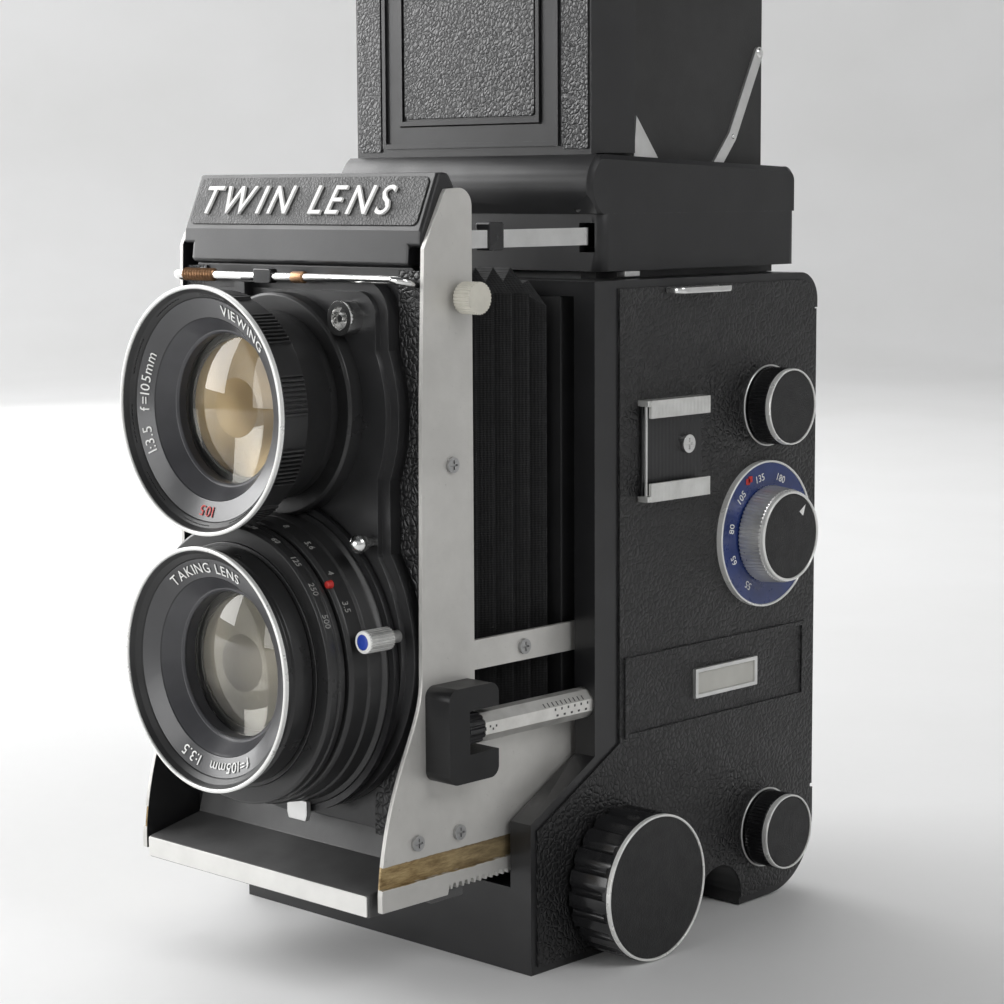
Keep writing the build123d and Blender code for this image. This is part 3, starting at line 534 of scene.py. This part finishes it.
def round_rect(u0, u1, v0, v1, radius, steps=6):
    points = []
    for cu, cv, turn in ((u1 - radius, v1 - radius, 0), (u0 + radius, v1 - radius, 90),
            (u0 + radius, v0 + radius, 180), (u1 - radius, v0 + radius, 270)):
        for i in range(steps + 1):
            a = radians(turn + 90 * i / steps)
            points.append((cu + radius * cos(a), cv + radius * sin(a)))
    return points


def front_plane(y):
    """Plane facing the lenses' way: u is X, v is Z, depth stands towards -Y."""
    return lambda u, v, d: (u, y - d, v)


def side_plane(x):
    """Plane facing +X: u is Y, v is Z."""
    return lambda u, v, d: (x + d, u, v)


# ---- lettering ------------------------------------------------------------
glyph_cache = {}


def glyph(text, size, shear=0.0):
    """Vertices and faces of flat lettering, centred on x, in millimetres."""
    key = (text, size, shear)
    if key not in glyph_cache:
        curve = bpy.data.curves.new("glyph", "FONT")
        curve.body = text
        curve.size = size
        curve.shear = shear
        curve.extrude = 0.5
        curve.resolution_u = 3
        holder = bpy.data.objects.new("glyph", curve)
        bpy.context.scene.collection.objects.link(holder)
        bpy.context.view_layer.update()
        graph = bpy.context.evaluated_depsgraph_get()
        mesh = bpy.data.meshes.new_from_object(holder.evaluated_get(graph))
        verts = [tuple(v.co) for v in mesh.vertices]
        faces = [tuple(p.vertices) for p in mesh.polygons]
        bpy.data.objects.remove(holder)
        bpy.data.meshes.remove(mesh)
        bpy.data.curves.remove(curve)
        xs = [v[0] for v in verts] or [0.0, size * 0.3]
        glyph_cache[key] = (verts, faces, min(xs), max(xs))
    return glyph_cache[key]


def letter_piece(name, items, depth, skin, body):
    """items: (text, size, shear, origin, right, up); letters stand depth proud of origin."""
    verts, faces = [], []
    for text, size, shear, origin, right, up in items:
        points, polys, left, far = glyph(text, size, shear)
        normal = right.cross(up)
        start = len(verts)
        for x, y, z in points:
            x -= (left + far) / 2
            verts.append(origin + right * x + up * y + normal * ((z + 0.5) * depth))
        faces += [tuple(start + i for i in poly) for poly in polys]
    return add_piece(name, verts, faces, skin, body, "ivory_knob", smooth=20)


def around(degrees):
    """Outward and clockwise directions about Y, from twelve o'clock."""
    a = radians(degrees)
    return Vector((sin(a), 0, cos(a))), Vector((cos(a), 0, -sin(a)))


def ring_letters(text, place, start):
    """Letters round a lens's name ring, clockwise from start degrees past twelve o'clock."""
    size, r, y, gap = 3.0, 18.6, RIM + 3.2, 0.42
    items, angle = [], start
    for letter in text:
        if letter == " ":
            angle += math.degrees(size * 0.42 / r)
            continue
        _, _, left, far = glyph(letter, size)
        wide = far - left
        angle += math.degrees((wide / 2) / r)
        outward, tangent = around(angle)
        up = (outward * SLOPE[0] - BACK * SLOPE[1]).normalized()
        origin = Vector((place[0], y, place[1])) + outward * r
        items.append((letter, size, 0.0, origin, tangent, up))
        angle += math.degrees((wide / 2 + gap) / r)
    return items


def drum_letters(texts, size, place, r, y, angles):
    """Groups of letters lying round a drum, tops towards the body."""
    items = []
    for text, degrees in zip(texts, angles):
        outward, tangent = around(degrees)
        origin = Vector((place[0], y, place[1])) + outward * r
        items.append((text, size, 0.0, origin, tangent, BACK))
    return items


def bars(name, places, size, depth, to3d, skin, body, slot):
    """Small printed bars: places are (u, v) centres, size is (wide, high)."""
    verts, faces = [], []
    for u, v in places:
        start = len(verts)
        for d in (0.0, depth):
            for du, dv in ((-1, -1), (1, -1), (1, 1), (-1, 1)):
                verts.append(to3d(u + du * size[0] / 2, v + dv * size[1] / 2, d))
        for quad in ((3, 2, 1, 0), (4, 5, 6, 7), (0, 1, 5, 4), (1, 2, 6, 5), (2, 3, 7, 6), (3, 0, 4, 7)):
            faces.append(tuple(start + q for q in quad))
    return add_piece(name, verts, faces, skin, body, slot)


# ---- bellows --------------------------------------------------------------
def make_bellows():
    """Six pleats as closed rings of cloth whose corners fold flat."""
    lo, hi = low("bellows"), high("bellows")
    pleats = 6
    steps = pleats * 2
    rings = []
    for i in range(steps + 1):
        t = i / steps
        y = lo[1] + 0.1 + (hi[1] - lo[1] - 0.2) * t
        peak = i % 2 == 1
        pull = 0.0 if peak else 4.6
        half = hi[0] - 0.1 - pull
        top = hi[2] - 0.6 * t - 6.4 * max(0.0, t - 0.86) / 0.14 - pull * 0.85 - 0.2
        bottom = lo[2] + pull * 0.6 + 0.1
        cut = 5.0 if peak else 1.0
        outline = [(half, bottom + cut), (half, top - cut), (half - cut, top), (cut - half, top),
            (-half, top - cut), (-half, bottom + cut), (cut - half, bottom), (half - cut, bottom)]
        rings.append([(x, y, z) for x, z in outline])
    cloth_thickness = 0.35
    verts = [p for ring in rings for p in ring]
    n = 8
    faces = []
    for k in range(steps):
        for i in range(n):
            j = (i + 1) % n
            faces.append((k * n + i, k * n + j, (k + 1) * n + j, (k + 1) * n + i))
    piece = add_piece("bellows_pleats", verts, faces, cloth, None, "bellows_cloth", hides=("bellows",),
        smooth=20)
    wall = piece.modifiers.new("wall", "SOLIDIFY")
    wall.thickness = cloth_thickness * MM
    wall.offset = -1
    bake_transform(piece)


make_bellows()

# ---- lenses ---------------------------------------------------------------
VIEW_X, _, VIEW_Z = middle("viewing_glass")
TAKE_X, _, TAKE_Z = middle("taking_glass")
VIEW, TAKE = (VIEW_X, VIEW_Z), (TAKE_X, TAKE_Z)
RIM = low("viewing_barrel")[1]
STEP = high("viewing_barrel")[1]


def barrel(name, profile, place, segments=192, body="standard", **extra):
    lathe(name, profile, place, "Y", barrel_paint, body, "black_casting", segments, **extra)


def lens_front(prefix, place):
    """White rim, flange, engraved ring and stepped cone of one lens."""
    lathe(prefix + "_rim", [(23.9, RIM + 0.9), (23.9, RIM + 0.12), (23.7, RIM), (23.35, RIM),
        (23.15, RIM + 0.2),
        (23.15, RIM + 0.9)], place, "Y", rim_white, "standard", "chrome_trim", 192,
        closed=True,
        radius=0.06)
    barrel(prefix + "_flange", [(23.86, RIM + 1.2), (23.86, RIM + 0.92), (23.1, RIM + 0.85),
        (23.1, RIM + 0.3),
        (22.5, RIM + 1.3), (21.5, RIM + 2.1), (21.3, RIM + 2.5)], place)
    lathe(prefix + "_name_ring", [(21.35, RIM + 2.3), (17.6, RIM + 3.7), (17.4, RIM + 4.1)], place, "Y",
        name_paint, "standard", "black_casting", 192, radius=0.1)
    cone = [(17.45, RIM + 3.9), (17.2, RIM + 4.2), (15.1, RIM + 7.0), (14.9, RIM + 7.0), (14.5, RIM + 7.4),
        (14.4, RIM + 12.4)]
    lathe(prefix + "_cone", cone, place, "Y", cone_paint, "standard", "black_casting", 160, radius=0.05)


def coated_elements(prefix, place, front, skin):
    """Curved inner elements seen through the front glass, on dark holders."""
    for index, (radius, depth, sag) in enumerate(((12.6, 1.0, 1.6), (9.6, 3.4, 2.2))):
        line = [(radius * k / 10, front + depth - sag * (1 - (k / 10) ** 2)) for k in range(11)]
        lathe(f"{prefix}_element_{index + 1}", line, place, "Y", skin, "standard",
            "optical_glass", 96, radius=0, smooth=60)
        lathe(f"{prefix}_holder_{index + 1}", [(radius, front + depth), (radius, front + depth - 0.5),
            (radius + 0.5, front + depth - 0.5), (radius + 0.5, front + depth + 1.0)], place, "Y",
            satin_black, "standard", "matte_black", 96, radius=0.1)


name_paint = finish("name_ring_black", (0.034, 0.034, 0.037), 0.34, mottle=0.15, grain=0.2,
    grain_depth=0.006,
    coat=0.5)
cone_paint = finish("cone_black", (0.060, 0.060, 0.066), 0.34, mottle=0.1, mottle_size=5.0, grain=0.12,
    grain_depth=0.004, coat=0.35)
satin_black = finish("holder_black", (0.015, 0.015, 0.016), 0.35, mottle=0.1)

lens_front("viewing", VIEW)
lens_front("taking", TAKE)

barrel("viewing_body", [(13.5, STEP), (18.4, STEP), (18.4, STEP - 5.0), (19.4, STEP - 8.8),
    (20.8, STEP - 13.6), (22.1, STEP - 14.1), (22.1, RIM + 1.6),
    (23.7, RIM + 1.2),
    (23.7, RIM + 0.9)], VIEW, hides=("viewing_barrel",))
grip_angles = []
for centre in range(10, 370, 36):
    grip_angles += [centre + k * 2.3 for k in range(-4, 5)]
ribs("viewing_grip", VIEW, "Y", 22.0, 22.75, RIM + 1.5, STEP - 14.3, grip_angles, 0.55, barrel_paint,
    "standard",
    "black_casting")
barrel("viewing_scale_ring", [(18.3, STEP), (18.3, STEP - 3.2), (21.4, STEP - 3.4), (21.9, STEP - 2.9),
    (21.9, STEP)],
    VIEW, 160)

housing_y = low("shutter_housing")[1]
barrel("shutter_body", [(29.9, STEP), (29.9, STEP - 2.0), (28.9, STEP - 2.4), (28.7, STEP - 5.2),
    (28.2, STEP - 5.5),
    (28.4, STEP - 9.2), (27.9, STEP - 10.0), (24.0, STEP - 10.0), (24.0, housing_y),
    (14.4, housing_y)], TAKE, hides=("shutter_housing",))
barrel("taking_body", [(22.9, housing_y - 0.05), (23.3, housing_y - 0.4), (23.1, RIM + 3.4),
    (22.6, RIM + 3.0),
    (22.6, RIM + 1.6), (23.7, RIM + 1.1)], TAKE, hides=("taking_barrel",))
ring_low, ring_high = low("speed_ring")[1], high("speed_ring")[1]
speed_line = [(24.1, ring_high), (27.0, ring_high), (27.6, ring_high - 0.5), (27.6, ring_high - 1.5),
    (27.3, ring_high - 1.7), (27.3, ring_high - 2.1), (27.6, ring_high - 2.3),
    (27.5, ring_low + 0.5),
    (27.0, ring_low), (24.1, ring_low)]
barrel("speed_dial", speed_line, TAKE, body="speed_ring", radius=0.12,
    closed=True, hides=("speed_ring",))
slab("aperture_tab", [(2.4, 30.4), (7.4, 30.4), (7.8, 31.6), (7.8, 34.6), (2.0, 34.6), (2.0, 31.6)],
    front_plane(STEP - 2.2), 1.2, satin_chrome, "standard", "chrome_trim", edge=0.2)

coated_elements("viewing", VIEW, RIM + 12.4, amber)
coated_elements("taking", TAKE, RIM + 12.2, smoke)

SLOPE = (0.937, 0.35)
letters = ring_letters("1:3.5  f=105mm", VIEW, -118) + ring_letters("VIEWING", VIEW, 12)
letter_piece("viewing_engraving", letters, 0.08, print_white, "standard")
letter_piece("viewing_engraving_red", ring_letters("105", VIEW, 178), 0.08, print_red, "standard")
letters = ring_letters("TAKING LENS", TAKE, -38) + ring_letters("f=105mm  1:3.5", TAKE, 150)
letter_piece("taking_engraving", letters, 0.08, print_white, "standard")

stops = drum_letters(["3.5", "4", "5.6", "8", "11", "16", "22", "32"], 2.0, TAKE, 28.45, STEP - 8.6,
    range(62, -60, -15))
letter_piece("aperture_numbers", stops, 0.06, print_grey, "standard")
speeds = drum_letters(["500", "250", "125", "60", "30", "15", "8", "4", "2", "1", "B"], 1.9, TAKE, 27.62,
    ring_low + 0.7, range(66, -90, -14))
letter_piece("speed_numbers", speeds, 0.06, print_grey, "speed_ring")
index_turn = radians(52)
spot = (TAKE_X + 28.6 * sin(index_turn), TAKE_Z + 28.6 * cos(index_turn))
lathe("speed_index", [(0.0, STEP - 10.6), (0.7, STEP - 10.5), (0.8, STEP - 9.4)], spot, "Y", print_red,
    "standard",
    "ivory_knob", 24, radius=0.1)

# ---- focusing standard ----------------------------------------------------
def clip_board_sheet():
    """Pebbled covering on the standard's face, left bare around the lens board."""
    y = low("standard_frame")[1]
    half = high("standard_frame")[0] - 0.4
    z0, z1 = 24.8, high("standard_frame")[2] - 0.6
    for sign, label in ((1, "left"), (-1, "right")):
        points = [(sign * half, z0 + 4), (sign * half, z1)]
        inner = []
        for i in range(25):
            z = z1 + (z0 + 4 - z1) * i / 24
            upper = 28.1 if z > 103 else 0
            waist = sqrt(max(0, 30.8 ** 2 - (z - 111.6) ** 2)) if abs(z - 111.6) < 15 else 0
            lower = sqrt(max(0, 34.3 ** 2 - (z - 65.6) ** 2))
            inner.append((sign * max(upper if z > 76 else 0, waist, min(lower, half - 0.1),
                20 if z < 40 else 0), z))
        outline = points + inner
        if sign < 0:
            outline = list(reversed(outline))
        slab(f"standard_sheet_{label}", outline, front_plane(y), 0.45, leather_fine, "standard",
            "leatherette")


clip_board_sheet()

face_low, face_high = Vector((0, -66.8, 146.5)), Vector((0, -62.2, 157.3))
face_up = (face_high - face_low).normalized()
face_normal = RIGHT.cross(face_up)


def name_plane(u, v, d):
    return tuple(face_low + RIGHT * u + face_up * v + face_normal * d)


slab("nameplate_sheet", round_rect(-33.2, 33.2, 0.9, 10.9, 1.4), name_plane, 0.3, leather_name, "standard",
    "leatherette", edge=0.2)
items, cursor = [], -29.6
for letter in "TWIN LENS":
    if letter == " ":
        cursor += 4.0
        continue
    g = glyph(letter, 8.6, 0.22)
    wide = g[3] - g[2]
    origin = face_low + RIGHT * (cursor + wide / 2) + face_up * 3.0 + face_normal * 0.28
    items.append((letter, 8.6, 0.22, origin, RIGHT, face_up))
    cursor += wide + 1.3
letter_piece("nameplate_letters", items, 0.55, print_white, "standard")

shelf_lo, shelf_hi = low("front_shelf"), high("front_shelf")
slab("shelf_strip", round_rect(shelf_lo[0] + 1.9, shelf_hi[0] - 1.9, 17.7, 21.7, 0.3),
    front_plane(shelf_lo[1]),
    0.3, shelf_silver, "standard", "satin_plate", edge=0.1)
slab("parallax_collar", round_rect(-48.6, -44.5, 142.4, 147.8, 0.5), side_plane(31.0), 3.8, gloss_black,
    "standard",
    "black_knob", edge=0.3)

# spring, clip and sleeve on the lens wire
WIRE = (low("lens_wire")[1] + 0.8, 137.4)
coil = []
for turn in range(11):
    start = -29.5 + 0.85 * turn
    coil += [(0.82, start), (1.15, start + 0.14), (1.3, start + 0.42), (1.15, start + 0.7)]
lathe("wire_coil", coil + [(0.82, -29.5 + 0.85 * 11)], WIRE, "X", copper, "lens_wire", "chrome_trim", 32,
    radius=0)
lathe("wire_sleeve", [(0.8, 3.4), (1.15, 3.5), (1.15, 6.6), (0.8, 6.7)], WIRE, "X", copper, "lens_wire",
    "chrome_trim", 32, radius=0.05)
slab("wire_clip", round_rect(-7.4, -2.2, 136.1, 138.9, 0.5), front_plane(WIRE[0] + 0.9), 2.0, gloss_black,
    "lens_wire",
    "black_knob", edge=0.25)

# blue tip and white ring on the cocking lever's knob
knob_x = TAKE_X + 32.0 * cos(radians(13.5))
knob_z = TAKE_Z + 32.0 * sin(radians(13.5))
tip_y = low("cocking_lever")[1]
lathe("lever_ring", [(2.15, tip_y + 0.3), (2.15, tip_y - 0.15), (1.9, tip_y - 0.3), (1.5, tip_y - 0.3)],
    (knob_x, knob_z), "Y", print_white, "cocking_lever", "ivory_knob", 48, radius=0.08)
lathe("lever_tip", [(1.5, tip_y - 0.22), (0.8, tip_y - 0.34), (0.0, tip_y - 0.36)], (knob_x, knob_z), "Y",
    blue_tip,
    "cocking_lever", "dial_enamel", 48, radius=0.1)

# ---- scale rod marks ------------------------------------------------------
ROD_X, ROD_Z, ROD_R = 38.9, 51.6, 3.1
rod_apothem = ROD_R * cos(pi / 8)


def rod_facet(turn):
    """Plane of one rod facet, turned in degrees from the side towards the top: u is Y, v lies across it."""
    a = radians(turn)
    outward, across = Vector((cos(a), 0, sin(a))), Vector((-sin(a), 0, cos(a)))
    middle_line = Vector((ROD_X, 0, ROD_Z)) + outward * rod_apothem
    return lambda u, v, d: tuple(middle_line + BACK * u + across * v + outward * d)


for label, turn, places, size in (
        ("ticks_upper", 45, [(-29.4 - 1.25 * k, -0.45) for k in range(10)], (0.26, 1.0)),
        ("ticks_side", 0, [(-28.4 - 1.9 * k, 0.62) for k in range(6)], (0.42, 0.5)),
        ("marks_side", 0, [(-28.9 - 2.1 * k, -0.62) for k in range(5)], (0.6, 0.42)),
        ("marks_front", 0, [(-56.4, 0.3), (-55.6, -0.3), (-54.7, 0.2)], (0.4, 0.45))):
    bars(f"rod_{label}", places, size, 0.03, rod_facet(turn), print_dark, "scale_rod", "black_knob")


SHAFT_R = 2.94
SIDE_FACE_X = 43.0      # outer face of the side leather


# ---- knobs ----------------------------------------------------------------
def fluted(count, tip, depth, share=0.62, fine=5):
    """Polar outline with rounded grooves."""
    outline = []
    for i in range(count):
        base = 2 * pi * i / count
        pitch = 2 * pi / count
        for k in range(fine):
            outline.append((base + pitch * share * k / fine, tip))
        for k in range(fine):
            t = (k + 0.5) / fine
            outline.append((base + pitch * (share + (1 - share) * t), tip - depth * sin(pi * t) ** 0.7))
    return outline


def focus_knob(side, sign):
    node = f"focus_knob_{side}"
    lo, hi = low(node), high(node)
    place = middle(node)[1], middle(node)[2]
    x0, x1 = (lo[0], hi[0]) if sign > 0 else (hi[0], lo[0])
    radius = (hi[1] - lo[1]) / 2
    steps = [(x0, 0.5), (x0 + 0.5 * sign, 0.0), (x1 - 1.6 * sign, 0.0), (x1 - 1.0 * sign, 0.25)]
    toothed(f"{node}_grip", place, "X", fluted(20, radius, 0.85), steps, gloss_black, "focus_drive",
        "black_knob",
        hides=(node,), smooth=32)
    lathe(f"{node}_shoulder", [(radius - 0.2, x1 - 2.0 * sign), (radius - 0.15, x1 - 0.9 * sign),
        (radius - 0.5, x1 - 0.45 * sign)], place, "X", gloss_black, "focus_drive",
        "black_knob", 160)
    lathe(f"{node}_ring", [(radius - 0.15, x1 - 0.9 * sign), (radius - 0.15, x1 - 0.12 * sign),
        (radius - 0.25, x1),
        (radius - 0.55, x1), (radius - 0.65, x1 - 0.12 * sign),
        (radius - 0.65, x1 - 0.9 * sign)],
        place, "X", rim_white, "focus_drive", "chrome_trim", 160, radius=0.06, closed=True)
    lathe(f"{node}_face", [(radius - 0.6, x1 - 0.32 * sign), (radius - 1.1, x1 - 0.24 * sign),
        (0.0, x1 - 0.2 * sign)],
        place, "X", leather_face, "focus_drive", "leatherette", 128, radius=0.1)


focus_knob("left", 1)
focus_knob("right", -1)


def film_knob(label):
    node = f"film_knob_{label}"
    lo, hi = low(node), high(node)
    place = (middle(node)[1], middle(node)[2])
    x1 = hi[0]
    radius = (hi[1] - lo[1]) / 2
    count = 64
    outline = [(2 * pi * (i + s) / count, radius - d) for i in range(count)
        for s, d in ((0.0, 0.25), (0.25, 0.0), (0.55, 0.0), (0.8, 0.25))]
    toothed(f"{node}_grip", place, "X", outline, [(43.4, 0.4), (43.7, 0.0), (x1 - 1.4, 0.0),
        (x1 - 1.1, 0.3)],
        gloss_black, node, "black_knob", hides=(node,), smooth=30)
    lathe(f"{node}_shaft", [(SHAFT_R, 28.6), (SHAFT_R, 43.5)], place, "X", steel, node, "steel_parts", 48,
        radius=0)
    lathe(f"{node}_ring", [(radius - 0.1, x1 - 1.2), (radius - 0.1, x1 - 0.3), (radius - 0.2, x1),
        (radius - 0.42, x1), (radius - 0.52, x1 - 0.15), (radius - 0.52, x1 - 1.0)],
        place, "X", rim_white, node, "chrome_trim", 128, radius=0.06, closed=True)
    lathe(f"{node}_face", [(radius - 0.5, x1 - 0.35), (radius - 0.9, x1 - 0.2), (0.0, x1 - 0.16)], place,
        "X",
        leather_face, node, "leatherette", 96, radius=0.1)
    lathe(f"{node}_collar", [(radius + 0.5, SIDE_FACE_X), (radius + 0.5, SIDE_FACE_X + 0.2),
        (radius + 0.35, SIDE_FACE_X + 0.3),
        (radius + 0.1, SIDE_FACE_X + 0.25),
        (radius + 0.1, SIDE_FACE_X)], place, "X", satin_chrome, "body", "chrome_trim", 128,
        radius=0.05)
    lathe(f"{node}_seat", [(radius + 0.25, SIDE_FACE_X), (radius + 0.2, SIDE_FACE_X + 0.25), (4.0, SIDE_FACE_X + 0.2)],
        place, "X",
        gloss_black,
        "body", "black_knob", 96, radius=0.05)


film_knob("upper")
film_knob("lower")

# lens-change dial
dial_lo, dial_hi = low("dial_plate"), high("dial_plate")
DIAL = (middle("dial_plate")[1], middle("dial_plate")[2])
dial_r = (dial_hi[1] - dial_lo[1]) / 2
dial_x = dial_hi[0]
lathe("dial_rim", [(dial_r, SIDE_FACE_X), (dial_r, dial_x - 0.1), (dial_r - 0.1, dial_x),
    (dial_r - 0.38, dial_x),
    (dial_r - 0.5, dial_x - 0.25)], DIAL, "X", rim_white, "body", "chrome_trim", 160,
    radius=0.08,
    hides=("dial_plate",))
lathe("dial_face", [(dial_r - 0.45, dial_x - 0.3), (dial_r - 5.6, dial_x - 0.15), (9.0, dial_x - 0.15),
    (9.0, dial_x - 1.0)], DIAL, "X", blue_enamel, "body", "dial_enamel", 160, radius=0.08)
items = []
for text, degrees in (("55", -148), ("65", -112), ("80", -80), ("105", -46), ("135", -12), ("180", 22),
        ("250", 58)):
    a = radians(degrees)
    outward = Vector((0, sin(a), cos(a)))
    tangent = Vector((0, cos(a), -sin(a)))
    origin = Vector((dial_x - 0.16, DIAL[0], DIAL[1])) + outward * (dial_r - 4.1)
    items.append((text, 2.2, 0.0, origin, tangent, outward))
letter_piece("dial_numbers", items, 0.05, print_white, "body")
red_mark = []
for degrees in (-30, -26):
    a = radians(degrees)
    red_mark.append((DIAL[0] + (dial_r - 2.2) * sin(a), DIAL[1] + (dial_r - 2.2) * cos(a)))
bars("dial_red_mark", red_mark, (1.3, 1.3), 0.05, side_plane(dial_x - 0.2), print_red, "body", "ivory_knob")

change_hi = high("lens_change_knob")
count = 72
outline = [(2 * pi * (i + s) / count, 10.4 - d) for i in range(count)
    for s, d in ((0.0, 0.3), (0.3, 0.0), (0.5, 0.0), (0.8, 0.3))]
toothed("change_knob_grip", DIAL, "X", outline, [(dial_x - 0.05, 0.3), (dial_x + 0.25, 0.0),
    (change_hi[0] - 1.2, 0.45),
    (change_hi[0] - 0.9, 0.8)], satin_chrome,
    "lens_change_knob",
    "chrome_trim", hides=("lens_change_knob",), smooth=30)
top_x = change_hi[0]
lathe("change_knob_rim", [(9.65, top_x - 1.0), (9.65, top_x - 0.25), (9.45, top_x), (9.15, top_x),
    (9.0, top_x - 0.15), (9.0, top_x - 0.8)], DIAL, "X", rim_white,
    "lens_change_knob",
    "chrome_trim", 128, radius=0.06, closed=True)
lathe("change_knob_face", [(9.05, top_x - 0.35), (8.7, top_x - 0.2), (0.0, top_x - 0.17)], DIAL, "X",
    leather_face,
    "lens_change_knob", "leatherette", 96, radius=0.1)
lathe("change_knob_shaft", [(SHAFT_R, 40.6), (SHAFT_R, dial_x)], DIAL, "X", steel, "lens_change_knob",
    "steel_parts", 48,
    radius=0)
pointer = Vector((0, 0.62, 0.78)).normalized()
across = Vector((0, pointer[2], -pointer[1]))
tip = Vector((top_x - 0.18, DIAL[0], DIAL[1])) + pointer * 8.0
pts = [tip, tip - pointer * 2.3 + across * 0.8, tip - pointer * 2.3 - across * 0.8]
add_piece("change_knob_pointer", [tuple(p) for p in pts] + [tuple(p + RIGHT * 0.06) for p in pts],
    [(0, 1, 2), (3, 5, 4), (0, 3, 4, 1), (1, 4, 5, 2), (2, 5, 3, 0)], print_white, "lens_change_knob",
    "ivory_knob")

# ---- hood and finder ------------------------------------------------------
LID_FACE_Y = -18.4
STAY_FACE_X = 32.6
for sign, label in ((1, "left"), (-1, "right")):
    u0, u1 = sorted((sign * 26.2, sign * 33.4))
    slab(f"lid_sheet_{label}", round_rect(u0, u1, 162.0, 218.6, 0.5), front_plane(LID_FACE_Y), 0.35,
        leather_coarse,
        "body", "leatherette", edge=0.12)
slab("lid_sheet_top", round_rect(-25.6, 25.6, 211.0, 218.6, 0.5), front_plane(LID_FACE_Y), 0.35,
    leather_coarse,
    "body",
    "leatherette", edge=0.12)
slab("door_sheet", round_rect(-18.9, 18.9, 168.9, 204.2, 1.2), front_plane(LID_FACE_Y), 0.4, leather_coarse,
    "sports_door",
    "leatherette", edge=0.15)

for side, sign in (("left", 1), ("right", -1)):
    for label, (y, z) in (("rear", (37.5, 182.8)), ("elbow", (28.6, 165.0))):
        r = 1.0 if label == "rear" else 0.55
        x = sign * STAY_FACE_X
        lathe(f"stay_{label}_rivet_{side}", [(r, x), (r, x + sign * 0.2), (r * 0.6, x + sign * 0.42),
            (0.0, x + sign * 0.46)],
            (y, z), "X", chrome, f"hood_side_{side}", "chrome_trim", 32, radius=0.08)

slab("shoe_wire", round_rect(-14.5, -14.0, 91.6, 111.7, 0.2), side_plane(44.7), 0.5, satin_chrome, "body",
    "chrome_trim", edge=0.1)
slab("finder_catch", round_rect(-12.2, -7.6, 136.4, 137.5, 0.2), side_plane(35.4), 2.2, satin_chrome,
    "body",
    "chrome_trim", edge=0.12)

# ---- studio ---------------------------------------------------------------
def make_bowl():
    """A pale floor that curves up into a round wall."""
    line = [(0.0, 0.0), (0.4, 0.0), (0.9, 0.0), (1.5, 0.0)]
    bend, centre_r = 0.7, 1.5
    for i in range(1, 13):
        a = radians(7.5 * i)
        line.append((centre_r + bend * sin(a), bend - bend * cos(a)))
    line.append((centre_r + bend, 1.6))
    segments = 96
    verts, faces = [], []
    for i in range(segments):
        a = 2 * pi * i / segments
        verts += [(r * cos(a), r * sin(a), z) for r, z in line]
    n = len(line)
    for i in range(segments):
        j = (i + 1) % segments
        faces += [(i * n + k, j * n + k, j * n + k + 1, i * n + k + 1) for k in range(n - 1)]
    mesh = bpy.data.meshes.new("floor")
    mesh.from_pydata(verts, [], faces)
    mesh.shade_smooth()
    floor = bpy.data.objects.new("floor", mesh)
    bpy.context.scene.collection.objects.link(floor)
    net = Net("paper")
    net.set("Base Color", net.mix(net.cloud(0.0, 1.0, 180.0), (0.76, 0.76, 0.755, 1),
        (0.80, 0.80, 0.80, 1)))
    net.set("Roughness", net.cloud(0.6, 0.7, 5.0))
    mesh.materials.append(net.material)


def area_light(name, place, target, size, power):
    data = bpy.data.lights.new(name, "AREA")
    data.shape = "RECTANGLE"
    data.size, data.size_y = size
    data.energy = power
    lamp = bpy.data.objects.new(name, data)
    bpy.context.scene.collection.objects.link(lamp)
    lamp.location = Vector(place)
    lamp.rotation_mode = "QUATERNION"
    lamp.rotation_quaternion = (Vector(target) - Vector(place)).to_track_quat("-Z", "Y")


make_bowl()
aim = (0, 0, 0.09)
area_light("window", (-1.0, -0.45, 0.55), aim, (0.9, 0.9), 14)
area_light("window_rear", (-1.1, 0.35, 0.45), aim, (0.7, 0.7), 3)
area_light("overhead", (-0.6, 0.5, 1.1), aim, (0.9, 0.9), 5)
area_light("side", (1.15, -0.05, 0.95), aim, (0.6, 0.6), 5.6)
area_light("front", (-0.15, -1.3, 0.30), aim, (0.9, 0.55), 5)
area_light("backdrop", (-1.5, 0.1, 1.2), (-1.8, 1.1, 0.5), (0.8, 0.8), 12)

world = bpy.data.worlds.new("studio")
bpy.context.scene.world = world
world.use_nodes = True
world.node_tree.nodes["Background"].inputs["Color"].default_value = (0.9, 0.92, 0.95, 1)
world.node_tree.nodes["Background"].inputs["Strength"].default_value = 0.12

# ---- camera ---------------------------------------------------------------
camera_data = bpy.data.cameras.new("camera")
camera = bpy.data.objects.new("camera", camera_data)
bpy.context.scene.collection.objects.link(camera)
camera_data.sensor_width = 36.0
camera_data.lens = 88.81
camera_data.clip_start, camera_data.clip_end = 0.01, 20.0
camera_data.dof.use_dof = False
side_axis = Vector((0.72384704, 0.68994015, -0.00529635))
up_axis = Vector((-0.08291433, 0.09460468, 0.99205603))
back_axis = side_axis.cross(up_axis).normalized()
basis = Matrix((side_axis, up_axis, back_axis)).transposed().to_4x4()
camera.matrix_world = Matrix.Translation(Vector((0.365165, -0.391690, 0.154265))) @ basis
bpy.context.scene.camera = camera
bpy.context.scene.view_settings.view_transform = "Standard"
